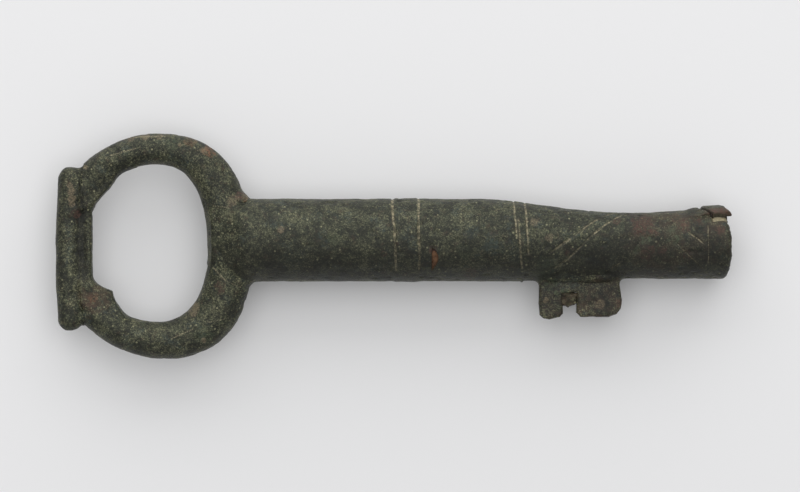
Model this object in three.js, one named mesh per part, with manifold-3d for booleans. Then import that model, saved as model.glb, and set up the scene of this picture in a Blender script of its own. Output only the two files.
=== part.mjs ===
// A small bronze key: a hollow barrel, a ring bow closed by a cross bar, and a bit with one ward slot.
// It is made up from separate pieces that are seated in each other and brazed, and nothing on it moves.
// Millimetres. +X runs along the barrel towards its mouth, +Y away from the bit, +Z across the key.
// The key lies on its side, and the origin is under the middle of its outer box.

import * as THREE from "three";
import { mergeVertices } from "three/addons/utils/BufferGeometryUtils.js";
import Module from "manifold-3d";

const wasm = await Module();
wasm.setup();

// Barrel: outer form. Heights are measured from the axis of its thick part.
const barrelLength = 61.3;
const shankRadius = 4.88;
const taperFromMouth = 30.4; // the thick part ends here, and the barrel starts to thin
const taperLength = 16.5;
const waistAbove = 3.27;
const waistBelow = 4.55;
const waistHalfWidth = 3.98;
const waistFromMouth = 10.9; // from here the barrel flares again to its mouth
const flareOvershoot = 3.8; // the flare is cut off this far before it would be full
const flareShare = 0.85; // and has by then reached this share of its height
const mouthAbove = 3.96;
const mouthBelow = 4.55;
const mouthHalfWidth = 4.25;
const rimRound = 0.5; // the worn edge round the mouth
const rimDrop = 0.32;
const endSlope = 4.6; // both sides of the closed end slope down to the ring over this length
const endHalfWidth = 2.95;
const endDrop = 0.45; // how much lower it is at the closed end
const endDropLength = 2.8;

// Barrel: bore for the lock's pin.
const boreRadius = 2.9;
const boreDepth = 42;
const boreBelowAxis = 0.35;
const boreTipLength = 1.6;
const boreTipShoulder = 0.9; // length of the tip's blunt part
const boreTipRadius = 2.1; // where the blunt part starts

// Barrel: incised lines. Each ring line is given by its distance from the mouth.
const pairedLinesFromMouth = [39.8, 36.95];
const closeLinesFromMouth = [25.2, 24.25];
const mouthLineFromMouth = 2.95;
const pairedLineLean = 0.2; // how far a line runs askew between the barrel's axis and its top
const closeLineLean = 0.36;
const lineHalfWidth = 0.19;
const lineDepth = 0.2;
const bandLift = 0.08; // the band between the paired lines stands a little proud

// Barrel: chevron of doubled scratched lines that cross on top. Where they top the barrel is measured from
// the mouth, and the angles at which they end go up from the +Z side.
const chevronBowTops = [12.4, 11];
const chevronBowEnds = [-23, -42];
const chevronMouthTops = [13.9, 11.9];
const chevronMouthEnds = [-42, -6];
const chevronSlope = 4.6; // travel along the barrel per radian of turn
const chevronWidth = 0.5;
const chevronEndShare = 0.25; // a line is this share of its full width and depth at its ends

// Barrel: torn mouth. Angles go up from the +Z side round the bore's axis.
const tearLength = 2.5;
const tearFrom = 36;
const tearTo = 76;
const tornLipTo = 124;
const tornLipLength = 4.1;
const tornLipLift = 0.3;
const tornLipThickness = 0.9;
const tornLipRootSink = 0.12;
const tornLipEndGap = 0.15; // the strip is this much shorter than the barrel
const tornLipSteps = 6;
const tearTaper = 0.3; // share of its angle by which a tear narrows towards its inner end
const chipGap = 2; // degrees of whole wall between the strip and the chip beside it
const chipLength = 0.8;
const chipTo = 150;

// Barrel: a fresh nick in its side, as if a spade had caught it.
const nickFromMouth = 35.2;
const nickWidth = 0.85;
const nickLength = 2.5;
const nickAngle = -28;
const nickDepth = 0.28;

// Bow: a C-shaped ring with a flattened shoulder where it passes through the barrel's end.
const bowRadius = 13.3;
const bowShift = 0.4; // the outline's centre lies this far towards the barrel
const bowDrop = 0.67; // the bow's centre lies this far below the barrel's axis
const bowLowerSwell = 0.38;
const shoulderFlat = 2.7;
const shoulderHalfAngle = 75; // the shoulder's flat and its extra thickness fade out here
const openingRight = 6;
const openingLeft = 8.9;
const openingUp = 9.65;
const openingDown = 8.95;
const openingSquareness = 2.3;
const bowShow = 0.6; // how far the ring stands out of the barrel's closed end
const bowThickness = 4.4;
const shoulderExtraThickness = 0.8;
const innerBevel = 0.75;
const outerBevel = 1.05;
const bevelDrop = 0.22; // how much lower the section is at its bevels than in its middle
const edgeHalfHeight = 0.95;
const armEndAngle = 151;

// Bow bar: a rod with a thin lip between the ends of the ring.
const barInnerFace = 9.1; // from the bow's centre
const barWidth = 2.9;
const barThickness = 3.4;
const barUp = 9.16; // its two ends, from the bow's centre
const barDown = 10.04;
const barBelly = 0.38; // how much its middle stands out more than its ends
const barEndRound = 0.7;
const barRoundness = 0.8; // below 1 makes the rod's outer side squarer
const barLowerEndShare = 0.72; // the rod's lower end is this share of its full width
const barUpperEndShare = 0.78;
const lipInnerFace = 7.75;
const lipThickness = 2.3;
const lipHalfLength = 4.2;
const lipEdge = 0.35;

// Bit: a plate with one slot, set in the barrel's wall by a tenon.
const bitFromMouth = 13;
const bitLength = 9.8;
const bitThickness = 2.6;
const bitTipThinning = 0.35;
const bitDepth = 9.06; // from the barrel's axis to its straight edge
const bitHeelDrop = 0.28; // the tooth near the bow is this much longer
const bitEdgeRound = 0.3;
const bitCorner = 1.3;
const bitHeelCorner = 0.6;
const bitLean = 0.42; // how far its edge towards the mouth slants
const bitRootSink = 1.2; // how far the plate's outline reaches into the barrel before it is cut to fit
const slotFromHeel = 2.75;
const slotWidth = 1.75;
const slotTopFront = 6.2; // from the barrel's axis, on the +Z face
const slotTopBack = 7.4;
const crustReach = 1.25; // how far the crust in the slot comes down from its blind end
const crustHalfThickness = 0.95;
const tenonLength = 7.4;
const tenonThickness = 1.7;
const tenonDepth = 0.75;

// Brazing metal.
const brazeGap = 0.06; // between any two seated pieces
const beadEdge = 0.28; // bevel round the edges of beads and webs
const bowBeadUpperReach = 1.5; // how far the beads run out from the corner of ring and barrel
const bowBeadLowerReach = 1.05;
const bowBeadSink = 1.3; // how far they reach into the corner before they are cut to fit
const bowBeadHalfHeight = 1.7;
const bowBeadAngle = 27; // about where the ring's outer edge crosses the barrel's side
const bitBeadWidth = 0.9;
const bitBeadInset = 0.7; // from the plate's two sides to the bead's ends
const bitBeadEndLength = 0.6;
const bitBeadEndShare = 0.45;

// Webs of brazing metal between the bar's lip and the ring's ends: thickness, and free edges as points from
// the bow's centre, starting at the lip.
const webThickness = 2.9;
const upperWebEdge = [[-7.75, 4.75], [-6.7, 5.75], [-5.65, 6.8], [-5.2, 7.6], [-4.9, 8.2]];
const lowerWebEdge = [[-7.75, -4.35], [-5.3, -5.3], [-5.1, -6.1], [-4.4, -7.5], [-4.2, -8.1]];
const webSink = 1.3; // how far a web reaches into the ring before it is cut to fit

// Facets.
const barrelSides = 40;
const boreSides = 32;
const taperSteps = 8;
const endSteps = 6;
const flareSteps = 4;
const bowSteps = 60;
const barSteps = 12;
const chevronSteps = 22;

const bronze = (name, color, roughness, metalness) =>
  new THREE.MeshStandardMaterial({ name, color, roughness, metalness });
const barrelBronze = bronze("barrel_bronze", 0x4a4b40, 0.62, 0.55);
const bowBronze = bronze("bow_bronze", 0x484a3f, 0.6, 0.55);
const bitBronze = bronze("bit_bronze", 0x4b453a, 0.66, 0.5);
const brazeMetal = bronze("braze_metal", 0x594a36, 0.74, 0.4);
const crust = bronze("burial_crust", 0x6b4f38, 0.9, 0);

const degrees = THREE.MathUtils.degToRad;
const ease = (from, to, x) => THREE.MathUtils.smoothstep(x, from, to);
const mix = THREE.MathUtils.lerp;

// Solids from meshes, and meshes from solids.
function solidOf(geometry) {
  const bare = new THREE.BufferGeometry();
  bare.setAttribute("position", geometry.getAttribute("position").clone());
  if (geometry.index) {
    bare.setIndex(geometry.index.clone());
  }
  const merged = mergeVertices(bare, 1e-4);
  const mesh = new wasm.Mesh({
    numProp: 3,
    vertProperties: new Float32Array(merged.attributes.position.array),
    triVerts: new Uint32Array(merged.index.array),
  });
  return new wasm.Manifold(mesh);
}

function geometryOf(solid) {
  const { vertProperties, triVerts, numProp, numVert } = solid.getMesh();
  const positions = new Float32Array(numVert * 3);
  for (let i = 0; i < numVert; i++) {
    positions.set(vertProperties.subarray(i * numProp, i * numProp + 3), i * 3);
  }
  const geometry = new THREE.BufferGeometry();
  geometry.setAttribute("position", new THREE.BufferAttribute(positions, 3));
  geometry.setIndex(new THREE.BufferAttribute(triVerts, 1));
  geometry.computeVertexNormals();
  return geometry;
}

function piece(name, solid, material) {
  const mesh = new THREE.Mesh(geometryOf(solid), material);
  mesh.name = name;
  return mesh;
}

// Skin over a row of sections, each a ring of the same number of points, with a fan over each end.
function loft(sections) {
  const sides = sections[0].length;
  const points = sections.flat();
  const faces = [];
  const at = (row, side) => row * sides + (side % sides);
  for (let row = 0; row + 1 < sections.length; row++) {
    for (let side = 0; side < sides; side++) {
      faces.push(at(row, side), at(row, side + 1), at(row + 1, side + 1));
      faces.push(at(row, side), at(row + 1, side + 1), at(row + 1, side));
    }
  }
  for (const [row, turned] of [[0, true], [sections.length - 1, false]]) {
    const middle = new THREE.Vector3();
    sections[row].forEach((p) => middle.addScaledVector(p, 1 / sides));
    points.push(middle);
    for (let side = 0; side < sides; side++) {
      const edge = [at(row, side), at(row, side + 1)];
      if (turned) {
        edge.reverse();
      }
      faces.push(edge[0], edge[1], points.length - 1);
    }
  }
  const geometry = new THREE.BufferGeometry().setFromPoints(points);
  geometry.setIndex(faces);
  const made = solidOf(geometry);
  if (made.volume() > 0) {
    return made;
  }
  const turnedFaces = [];
  for (let i = 0; i < faces.length; i += 3) {
    turnedFaces.push(faces[i], faces[i + 2], faces[i + 1]);
  }
  geometry.setIndex(turnedFaces);
  return solidOf(geometry);
}

function box(low, high) {
  const size = new THREE.Vector3().subVectors(high, low);
  const middle = new THREE.Vector3().addVectors(low, high).multiplyScalar(0.5);
  return solidOf(new THREE.BoxGeometry(size.x, size.y, size.z).translate(middle.x, middle.y, middle.z));
}

// A plate of this outline, with bevelled edges, that lies across the key's middle.
function plate(shape, thickness, edge) {
  const geometry = new THREE.ExtrudeGeometry(shape, {
    depth: thickness - 2 * edge,
    bevelThickness: edge,
    bevelSize: edge,
    bevelOffset: -edge,
    bevelSegments: 2,
    curveSegments: 5,
  });
  return geometry.translate(0, 0, edge - thickness / 2);
}

// Barrel form: how far its skin lies above, below and beside the axis at a distance along it.
function barrelForm(x) {
  const taper = ease(barrelLength - taperFromMouth, barrelLength - taperFromMouth + taperLength, x);
  const flare = ease(barrelLength - waistFromMouth, barrelLength + flareOvershoot, x) / flareShare;
  const blend = (shank, waist, mouth) => mix(mix(shank, waist, taper), mouth, Math.min(flare, 1));
  const drop = endDrop * (1 - ease(0, endDropLength, x));
  const shoulder = mix(endHalfWidth, shankRadius, ease(0, endSlope, x));
  return {
    above: blend(shankRadius - drop, waistAbove, mouthAbove),
    below: blend(shankRadius - drop, waistBelow, mouthBelow),
    beside: blend(shoulder, waistHalfWidth, mouthHalfWidth),
  };
}

// A point of the barrel's skin, pushed out by grow and shifted along a leaning line.
function skinPoint(x, angle, grow = 0, lean = 0) {
  const along = x - lean * Math.sin(angle);
  const { above, below, beside } = barrelForm(along);
  const height = Math.sin(angle) > 0 ? above : below;
  return new THREE.Vector3(
    along,
    (height + grow) * Math.sin(angle),
    (beside + grow) * Math.cos(angle),
  );
}

function barrelSection(x, grow, lean = 0) {
  const angleOf = (side) => (side / barrelSides) * 2 * Math.PI;
  return Array.from({ length: barrelSides }, (_, side) => skinPoint(x, angleOf(side), grow, lean));
}

function lineSections(fromMouth, lean, liftBefore, liftAfter) {
  const x = barrelLength - fromMouth;
  return [
    barrelSection(x - lineHalfWidth, liftBefore, lean),
    barrelSection(x, -lineDepth, lean),
    barrelSection(x + lineHalfWidth, liftAfter, lean),
  ];
}

// Sections of the thinning part, with those of the close lines among them.
function taperSections(grow, lined) {
  const lines = lined ? closeLinesFromMouth : [];
  const start = barrelLength - taperFromMouth;
  const pitch = taperLength / taperSteps;
  const keepOff = closeLineLean + 2 * lineHalfWidth;
  const sections = [];
  for (let i = 0; i < taperSteps; i++) {
    const x = start + pitch * i;
    if (lines.every((fromMouth) => Math.abs(barrelLength - fromMouth - x) > keepOff)) {
      sections.push(barrelSection(x, grow));
    }
    for (const fromMouth of lines) {
      const place = barrelLength - fromMouth;
      if (place >= x && place < x + pitch) {
        sections.push(...lineSections(fromMouth, closeLineLean, 0, 0));
      }
    }
  }
  return sections;
}

function barrelSkin(grow = 0, lined = true) {
  const sections = [];
  for (let i = 0; i <= endSteps; i++) {
    sections.push(barrelSection((endSlope * i) / endSteps, grow));
  }
  if (lined) {
    const [first, second] = pairedLinesFromMouth;
    sections.push(...lineSections(first, pairedLineLean, 0, bandLift));
    sections.push(...lineSections(second, pairedLineLean, bandLift, 0));
  }
  sections.push(...taperSections(grow, lined));
  const flareStart = barrelLength - waistFromMouth;
  const flareEnd = barrelLength - mouthLineFromMouth;
  for (let i = 0; i < flareSteps; i++) {
    sections.push(barrelSection(mix(flareStart, flareEnd, i / flareSteps), grow));
  }
  if (lined) {
    sections.push(...lineSections(mouthLineFromMouth, 0, 0, 0));
  }
  for (const turn of [0, Math.PI / 4, Math.PI / 2]) {
    const x = barrelLength - rimRound * (1 - Math.sin(turn));
    sections.push(barrelSection(x, grow - rimDrop * (1 - Math.cos(turn))));
  }
  return loft(sections);
}

function boreCutter() {
  const blindEnd = barrelLength - boreDepth;
  const profile = [
    new THREE.Vector2(0, blindEnd - boreTipLength),
    new THREE.Vector2(boreTipRadius, blindEnd - boreTipShoulder),
    new THREE.Vector2(boreRadius, blindEnd),
    new THREE.Vector2(boreRadius, barrelLength + 1),
    new THREE.Vector2(0, barrelLength + 1),
  ];
  const lathe = new THREE.LatheGeometry(profile, boreSides);
  lathe.rotateZ(-Math.PI / 2).translate(0, -boreBelowAxis, 0);
  return solidOf(lathe);
}

// One scratched line of the chevron, from its end on the +Z side over the top to its end at the back.
function chevronCutter(topFromMouth, towardsMouth, endAngle) {
  const top = barrelLength - topFromMouth;
  const reach = Math.PI / 2 - degrees(endAngle);
  const points = [];
  for (let i = 0; i <= chevronSteps; i++) {
    const swing = mix(-reach, reach, i / chevronSteps);
    points.push(skinPoint(top + towardsMouth * chevronSlope * Math.abs(swing), Math.PI / 2 + swing, 0));
  }
  const half = chevronWidth / 2;
  const rise = half; // above the skin, so that the cut is open
  const sections = points.map((p, i) => {
    const before = points[Math.max(i - 1, 0)];
    const after = points[Math.min(i + 1, points.length - 1)];
    const travel = new THREE.Vector3().subVectors(after, before).normalize();
    const outward = new THREE.Vector3(0, p.y, p.z).normalize();
    const across = new THREE.Vector3().crossVectors(travel, outward).normalize();
    const share = i === 0 || i === points.length - 1 ? chevronEndShare : 1;
    const corner = (side, up) =>
      p.clone().addScaledVector(across, side * share).addScaledVector(outward, up * share);
    return [corner(0, -lineDepth), corner(half, rise), corner(-half, rise)];
  });
  return loft(sections);
}

// A wedge between two angles round the bore's axis, narrower at its inner end, for torn and chipped edges.
function tearCutter(length, from, to) {
  const reach = shankRadius * 2;
  const wedge = (x, a, b) => {
    const edge = (angle) => {
      const turn = degrees(angle);
      return new THREE.Vector3(x, reach * Math.sin(turn) - boreBelowAxis, reach * Math.cos(turn));
    };
    return [new THREE.Vector3(x, -boreBelowAxis, 0), edge(a), edge(mix(a, b, 0.5)), edge(b)];
  };
  const start = barrelLength - length;
  const tight = (to - from) * tearTaper;
  return loft([
    wedge(start, from + tight, to - tight * 0.4),
    wedge(start + length * 0.3, from + tight * 0.35, to),
    wedge(barrelLength + 1, from, to + 1),
  ]);
}

// The strip of wall beside the tear, bent a little outwards.
function tornLip() {
  const angleOf = (i) => degrees(mix(tearTo + 1, tornLipTo, i / tornLipSteps));
  const angles = Array.from({ length: tornLipSteps + 1 }, (_, i) => angleOf(i));
  const section = (x, lift) => {
    const outer = angles.map((a) => skinPoint(x, a, lift));
    const inner = angles.map((a) => skinPoint(x, a, lift - tornLipThickness));
    return [...outer, ...inner.reverse()];
  };
  const root = barrelLength - tornLipLength;
  return loft([
    section(root, -tornLipRootSink),
    section(root + tornLipLength * 0.35, tornLipLift * 0.9),
    section(root + tornLipLength * 0.75, tornLipLift),
    section(barrelLength - tornLipEndGap, tornLipLift * 0.55),
  ]);
}

// A wedge-shaped cut, deepest at its upright edge.
function nickCutter() {
  const shape = new THREE.Shape();
  shape.moveTo(0, -nickDepth);
  shape.lineTo(nickWidth, 1);
  shape.lineTo(0, 1);
  const geometry = new THREE.ExtrudeGeometry(shape, { depth: nickLength, bevelEnabled: false });
  geometry.rotateX(Math.PI / 2).translate(0, nickLength / 2, 0);
  geometry.translate(barrelLength - nickFromMouth, 0, shankRadius).rotateX(-degrees(nickAngle));
  return solidOf(geometry);
}

// 1 in the middle of the bow's shoulder, falling to 0 at its ends.
function shoulderShare(angle) {
  const fade = Math.min(Math.abs(angle) / degrees(shoulderHalfAngle), 1);
  return Math.cos((fade * Math.PI) / 2) ** 2;
}

// Bow outline, as distances from the bow's centre at an angle from +X.
function bowOuter(angle) {
  const flat = shoulderFlat * shoulderShare(angle);
  const swell = Math.sin(angle) < 0 ? -bowLowerSwell * Math.sin(2 * angle) : 0;
  return bowRadius + bowShift * Math.cos(angle) + swell - flat;
}

function bowInner(angle) {
  const right = Math.cos(angle) > 0;
  const halfWidth = right ? openingRight : openingLeft;
  const halfHeight = Math.sin(angle) > 0 ? openingUp : openingDown;
  const power = right ? openingSquareness : 2;
  const wide = Math.abs(Math.cos(angle) / halfWidth) ** power;
  const high = Math.abs(Math.sin(angle) / halfHeight) ** power;
  return (wide + high) ** (-1 / power);
}

const bowCentre = new THREE.Vector3(-openingRight - bowShow, -bowDrop, 0);
const fromBow = (x, y, z = 0) => new THREE.Vector3(x, y, z).add(bowCentre);

// Ring: a bevelled section between the inner and the outer outline, cut off flat where the bar lies.
function bowRing(grow = 0) {
  const end = degrees(armEndAngle);
  const sections = [];
  for (let i = 0; i <= bowSteps; i++) {
    const angle = mix(-end, end, i / bowSteps);
    const inner = bowInner(angle) - grow;
    const outer = bowOuter(angle) + grow;
    const half = (bowThickness + shoulderExtraThickness * shoulderShare(angle)) / 2 + grow;
    const profile = [
      [inner, edgeHalfHeight],
      [inner + innerBevel, half - bevelDrop],
      [(inner + outer) / 2, half],
      [outer - outerBevel, half - bevelDrop],
      [outer, edgeHalfHeight],
    ];
    const front = profile.map(([r, z]) => fromBow(r * Math.cos(angle), r * Math.sin(angle), z));
    const back = profile.map(([r, z]) => fromBow(r * Math.cos(angle), r * Math.sin(angle), -z)).reverse();
    sections.push([...front, ...back]);
  }
  const beyondBar = box(
    fromBow(-2 * bowRadius, -2 * bowRadius, -bowRadius),
    fromBow(-barInnerFace + brazeGap - grow, 2 * bowRadius, bowRadius),
  );
  return loft(sections).subtract(beyondBar);
}

// Bar: a rod whose inner side is flat, with a lip that closes the opening between the ring's ends.
function bowBar(grow = 0) {
  const rodSection = (y, scale) => {
    const along = (2 * y - barUp + barDown) / (barUp + barDown);
    const width = barWidth - barBelly * along ** 2;
    const points = [];
    for (let i = 0; i <= barSteps; i++) {
      const turn = mix(-Math.PI / 2, Math.PI / 2, i / barSteps);
      const across = Math.cos(turn) ** barRoundness * width * scale + grow * Math.cos(turn);
      const up = Math.sin(turn) * ((barThickness / 2) * scale + grow);
      points.push(fromBow(-barInnerFace - across, y, up));
    }
    points[0].x = fromBow(-barInnerFace + grow, 0).x;
    points[barSteps].x = points[0].x;
    return points;
  };
  const stations = [
    [-barDown - grow, barLowerEndShare],
    [-barDown + barEndRound * 0.35, 0.93],
    [-barDown + barEndRound, 1],
    [mix(-barDown, barUp, 0.3), 1],
    [mix(-barDown, barUp, 0.5), 1],
    [mix(-barDown, barUp, 0.7), 1],
    [barUp - barEndRound, 1],
    [barUp - barEndRound * 0.35, 0.95],
    [barUp + grow, barUpperEndShare],
  ];
  const rod = loft(stations.map(([y, scale]) => rodSection(y, scale)));
  const half = lipThickness / 2 + grow;
  const lipSection = (y) => [
    fromBow(-barInnerFace - barWidth / 3, y, half),
    fromBow(-barInnerFace - barWidth / 3, y, -half),
    fromBow(-lipInnerFace - lipEdge, y, -half),
    fromBow(-lipInnerFace + grow, y, -half + lipEdge),
    fromBow(-lipInnerFace + grow, y, half - lipEdge),
    fromBow(-lipInnerFace - lipEdge, y, half),
  ];
  return rod.add(loft([lipSection(-lipHalfLength - grow), lipSection(lipHalfLength + grow)]));
}

// Bit: plate outline seen from +Z, from the tooth near the bow to the tooth near the mouth.
function bitOutline() {
  const heel = barrelLength - bitFromMouth - bitLength;
  const toe = barrelLength - bitFromMouth;
  const root = -waistBelow + bitRootSink;
  const slotEnd = heel + slotFromHeel + slotWidth;
  const tipHeel = -bitDepth - bitHeelDrop;
  const shape = new THREE.Shape();
  shape.moveTo(heel, root);
  shape.lineTo(heel, tipHeel + bitHeelCorner);
  shape.quadraticCurveTo(heel, tipHeel, heel + bitHeelCorner, tipHeel);
  shape.lineTo(slotEnd, -bitDepth);
  shape.lineTo(toe - bitCorner, -bitDepth);
  shape.quadraticCurveTo(toe, -bitDepth, toe, -bitDepth + bitCorner);
  shape.lineTo(toe, -slotTopFront);
  shape.lineTo(toe - bitLean, root);
  return shape;
}

// The slot is filed at a slant, so its blind end is higher on the +Z face than on the back.
function slotCutter(inset = 0) {
  const start = barrelLength - bitFromMouth - bitLength + slotFromHeel;
  const half = bitThickness;
  const slope = (slotTopBack - slotTopFront) / bitThickness;
  const middle = (slotTopBack + slotTopFront) / 2 + inset;
  const section = (x) => [
    new THREE.Vector3(x, -bitDepth - 2, -half),
    new THREE.Vector3(x, -bitDepth - 2, half),
    new THREE.Vector3(x, -middle + slope * half, half),
    new THREE.Vector3(x, -middle - slope * half, -half),
  ];
  return loft([section(start), section(start + slotWidth)]);
}

function bitTenon(grow = 0) {
  const middle = barrelLength - bitFromMouth - bitLength / 2;
  const seat = barrelForm(middle).below;
  return box(
    new THREE.Vector3(middle - tenonLength / 2 - grow, -seat - tenonDepth, -tenonThickness / 2 - grow),
    new THREE.Vector3(middle + tenonLength / 2 + grow, -seat + tenonDepth + grow, tenonThickness / 2 + grow),
  );
}

function bit(barrelWithGap) {
  const geometry = plate(bitOutline(), bitThickness, bitEdgeRound);
  const place = geometry.getAttribute("position");
  for (let i = 0; i < place.count; i++) {
    const towardsTip = THREE.MathUtils.clamp((-place.getY(i) - waistBelow) / (bitDepth - waistBelow), 0, 1);
    place.setZ(i, place.getZ(i) * (1 - (bitTipThinning / bitThickness) * towardsTip));
  }
  return solidOf(geometry).subtract(slotCutter()).subtract(barrelWithGap).add(bitTenon());
}

// A lump of earth and corrosion that has set in the blind end of the slot.
function slotCrust() {
  const start = barrelLength - bitFromMouth - bitLength + slotFromHeel;
  const low = new THREE.Vector3(start + brazeGap, -slotTopFront - crustReach, -crustHalfThickness);
  const high = new THREE.Vector3(start + slotWidth - brazeGap, -slotTopFront + 1, crustHalfThickness);
  const lump = box(low, high);
  return lump.intersect(slotCutter(brazeGap));
}

// Beads of brazing metal in the corners between the ring and the barrel.
function bowBead(side, reach, ringWithGap, barrelWithGap) {
  const wall = side * shankRadius;
  const angle = side * Math.asin((shankRadius - side * bowCentre.y) / bowOuter(side * degrees(bowBeadAngle)));
  const corner = new THREE.Vector2(bowCentre.x + Math.cos(angle) * bowOuter(angle), wall);
  const at = (x, y) => [corner.x + x, corner.y + side * y];
  const shape = new THREE.Shape();
  shape.moveTo(...at(-bowBeadSink, -bowBeadSink));
  shape.lineTo(...at(-reach * 0.75, reach * 0.95));
  shape.quadraticCurveTo(...at(0, reach * 0.2), ...at(reach, -brazeGap));
  shape.lineTo(...at(reach * 0.9, -bowBeadSink));
  const bead = solidOf(plate(shape, 2 * bowBeadHalfHeight, beadEdge));
  return bead.subtract(ringWithGap).subtract(barrelWithGap);
}

// Webs in the corners between the bar's lip and the ring's ends: the free edge, and back inside the ring.
function cornerWeb(edge, ringWithGap, barWithGap) {
  const outward = ([x, y]) => {
    const out = new THREE.Vector2(x, y);
    return out.setLength(out.length() + webSink);
  };
  const behind = [edge[0], edge[2], edge[edge.length - 1]].map(outward).reverse();
  const points = [...edge.map(([x, y]) => new THREE.Vector2(x, y)), ...behind];
  const shape = new THREE.Shape(points.map((p) => p.add(new THREE.Vector2(bowCentre.x, bowCentre.y))));
  return solidOf(plate(shape, webThickness, beadEdge)).subtract(ringWithGap).subtract(barWithGap);
}

// Beads along the bit's two faces, where they meet the barrel.
function bitBead(face, barrelWithGap) {
  const heel = barrelLength - bitFromMouth - bitLength;
  const toe = barrelLength - bitFromMouth;
  const wall = bitThickness / 2 + brazeGap;
  const section = ([x, scale]) => {
    const { below, beside } = barrelForm(x);
    const meets = -below * Math.sqrt(1 - (wall / beside) ** 2);
    const w = bitBeadWidth * scale;
    return [
      [meets + w, 0],
      [meets - w * 0.9, 0],
      [meets - w * 0.8, 0.12],
      [meets - w * 0.2, w * 0.45],
      [meets + w * 0.35, w],
      [meets + w, w],
    ].map(([y, z]) => new THREE.Vector3(x, y, face * (wall + z)));
  };
  const stations = [
    [heel + bitBeadInset, bitBeadEndShare],
    [heel + bitBeadInset + bitBeadEndLength, 1],
    [toe - bitBeadInset - bitBeadEndLength, 1],
    [toe - bitBeadInset, bitBeadEndShare],
  ];
  return loft(stations.map(section)).subtract(barrelWithGap);
}

const ring = bowRing();
const ringWithGap = bowRing(brazeGap);
const bar = bowBar();
const barWithGap = bowBar(brazeGap);
const barrelWithGap = barrelSkin(brazeGap, false);

const tear = tearCutter(tearLength, tearFrom, tearTo);
const chip = tearCutter(chipLength, tornLipTo + chipGap, chipTo);
let barrel = barrelSkin().subtract(tear).add(tornLip()).subtract(chip).subtract(boreCutter());
chevronBowEnds.forEach((end, i) => {
  barrel = barrel.subtract(chevronCutter(chevronBowTops[i], -1, end));
});
chevronMouthEnds.forEach((end, i) => {
  barrel = barrel.subtract(chevronCutter(chevronMouthTops[i], 1, end));
});
barrel = barrel.subtract(ringWithGap).subtract(bitTenon(brazeGap)).subtract(nickCutter());

const key = new THREE.Group();
key.name = "key";
key.add(
  piece("barrel", barrel, barrelBronze),
  piece("bow_ring", ring, bowBronze),
  piece("bow_bar", bar, bowBronze),
  piece("bit", bit(barrelWithGap), bitBronze),
  piece("slot_crust", slotCrust(), crust),
  piece("bow_bead_upper", bowBead(1, bowBeadUpperReach, ringWithGap, barrelWithGap), brazeMetal),
  piece("bow_bead_lower", bowBead(-1, bowBeadLowerReach, ringWithGap, barrelWithGap), brazeMetal),
  piece("bar_bead_upper", cornerWeb(upperWebEdge, ringWithGap, barWithGap), brazeMetal),
  piece("bar_bead_lower", cornerWeb(lowerWebEdge, ringWithGap, barWithGap), brazeMetal),
  piece("bit_bead_front", bitBead(1, barrelWithGap), brazeMetal),
  piece("bit_bead_back", bitBead(-1, barrelWithGap), brazeMetal),
);

const bounds = new THREE.Box3().setFromObject(key);
const middle = bounds.getCenter(new THREE.Vector3());
key.position.set(-middle.x, -middle.y, -bounds.min.z);

export default key;
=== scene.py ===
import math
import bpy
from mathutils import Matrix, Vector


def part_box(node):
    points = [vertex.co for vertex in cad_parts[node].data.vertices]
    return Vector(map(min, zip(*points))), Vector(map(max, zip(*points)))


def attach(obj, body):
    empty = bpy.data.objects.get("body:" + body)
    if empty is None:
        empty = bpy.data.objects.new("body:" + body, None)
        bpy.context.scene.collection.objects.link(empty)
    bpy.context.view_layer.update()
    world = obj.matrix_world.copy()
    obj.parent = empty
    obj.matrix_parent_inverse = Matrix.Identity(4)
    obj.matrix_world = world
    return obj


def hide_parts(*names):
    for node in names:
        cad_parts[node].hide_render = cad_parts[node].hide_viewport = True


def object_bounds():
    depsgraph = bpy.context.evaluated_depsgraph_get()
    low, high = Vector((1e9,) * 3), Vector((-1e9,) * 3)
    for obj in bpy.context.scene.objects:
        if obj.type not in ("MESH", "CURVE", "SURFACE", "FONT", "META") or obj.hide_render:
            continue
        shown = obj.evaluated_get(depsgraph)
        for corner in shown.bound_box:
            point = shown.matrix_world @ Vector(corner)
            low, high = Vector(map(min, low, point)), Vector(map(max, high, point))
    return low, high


bl_info = {
    "name": "Bronze Key",
    "version": (1, 1, 0),
    "blender": (4, 5, 0),
    "location": "View3D > Sidebar > Bronze Key",
    "description": "Builds a corroded bronze key round its solid model, with a pale table and studio light",
    "category": "Add Mesh",
}

from functools import partial, reduce

import bpy
import numpy as np
from bpy.props import FloatProperty, FloatVectorProperty, IntProperty, PointerProperty
from mathutils import Euler, Vector

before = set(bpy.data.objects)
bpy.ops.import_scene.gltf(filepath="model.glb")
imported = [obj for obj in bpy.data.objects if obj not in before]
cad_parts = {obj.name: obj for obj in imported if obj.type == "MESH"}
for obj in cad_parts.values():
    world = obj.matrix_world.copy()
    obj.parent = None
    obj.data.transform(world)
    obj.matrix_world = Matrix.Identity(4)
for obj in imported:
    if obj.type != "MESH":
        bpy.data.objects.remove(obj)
CAD_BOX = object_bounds()

MM = 0.001
BARREL_LOW, BARREL_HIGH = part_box("barrel")
RING_LOW, RING_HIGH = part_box("bow_ring")
BAR_LOW, BAR_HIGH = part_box("bow_bar")
BIT_LOW, BIT_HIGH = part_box("bit")
BARREL_LENGTH = BARREL_HIGH.x - BARREL_LOW.x
AXIS = Vector((0, (BARREL_LOW.y + BARREL_HIGH.y) / 2, (BARREL_LOW.z + BARREL_HIGH.z) / 2))


def length(name, millimetres, description):
    """A size that a user can change."""
    size = millimetres * MM
    return FloatProperty(name=name, description=description, default=size, unit="LENGTH", precision=5)


def angle(name, degrees, description):
    """An angle that a user can change."""
    return FloatProperty(name=name, description=description, default=math.radians(degrees), subtype="ANGLE")


def factor(name, value, description):
    """A plain number that a user can change."""
    return FloatProperty(name=name, description=description, default=value)


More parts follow.
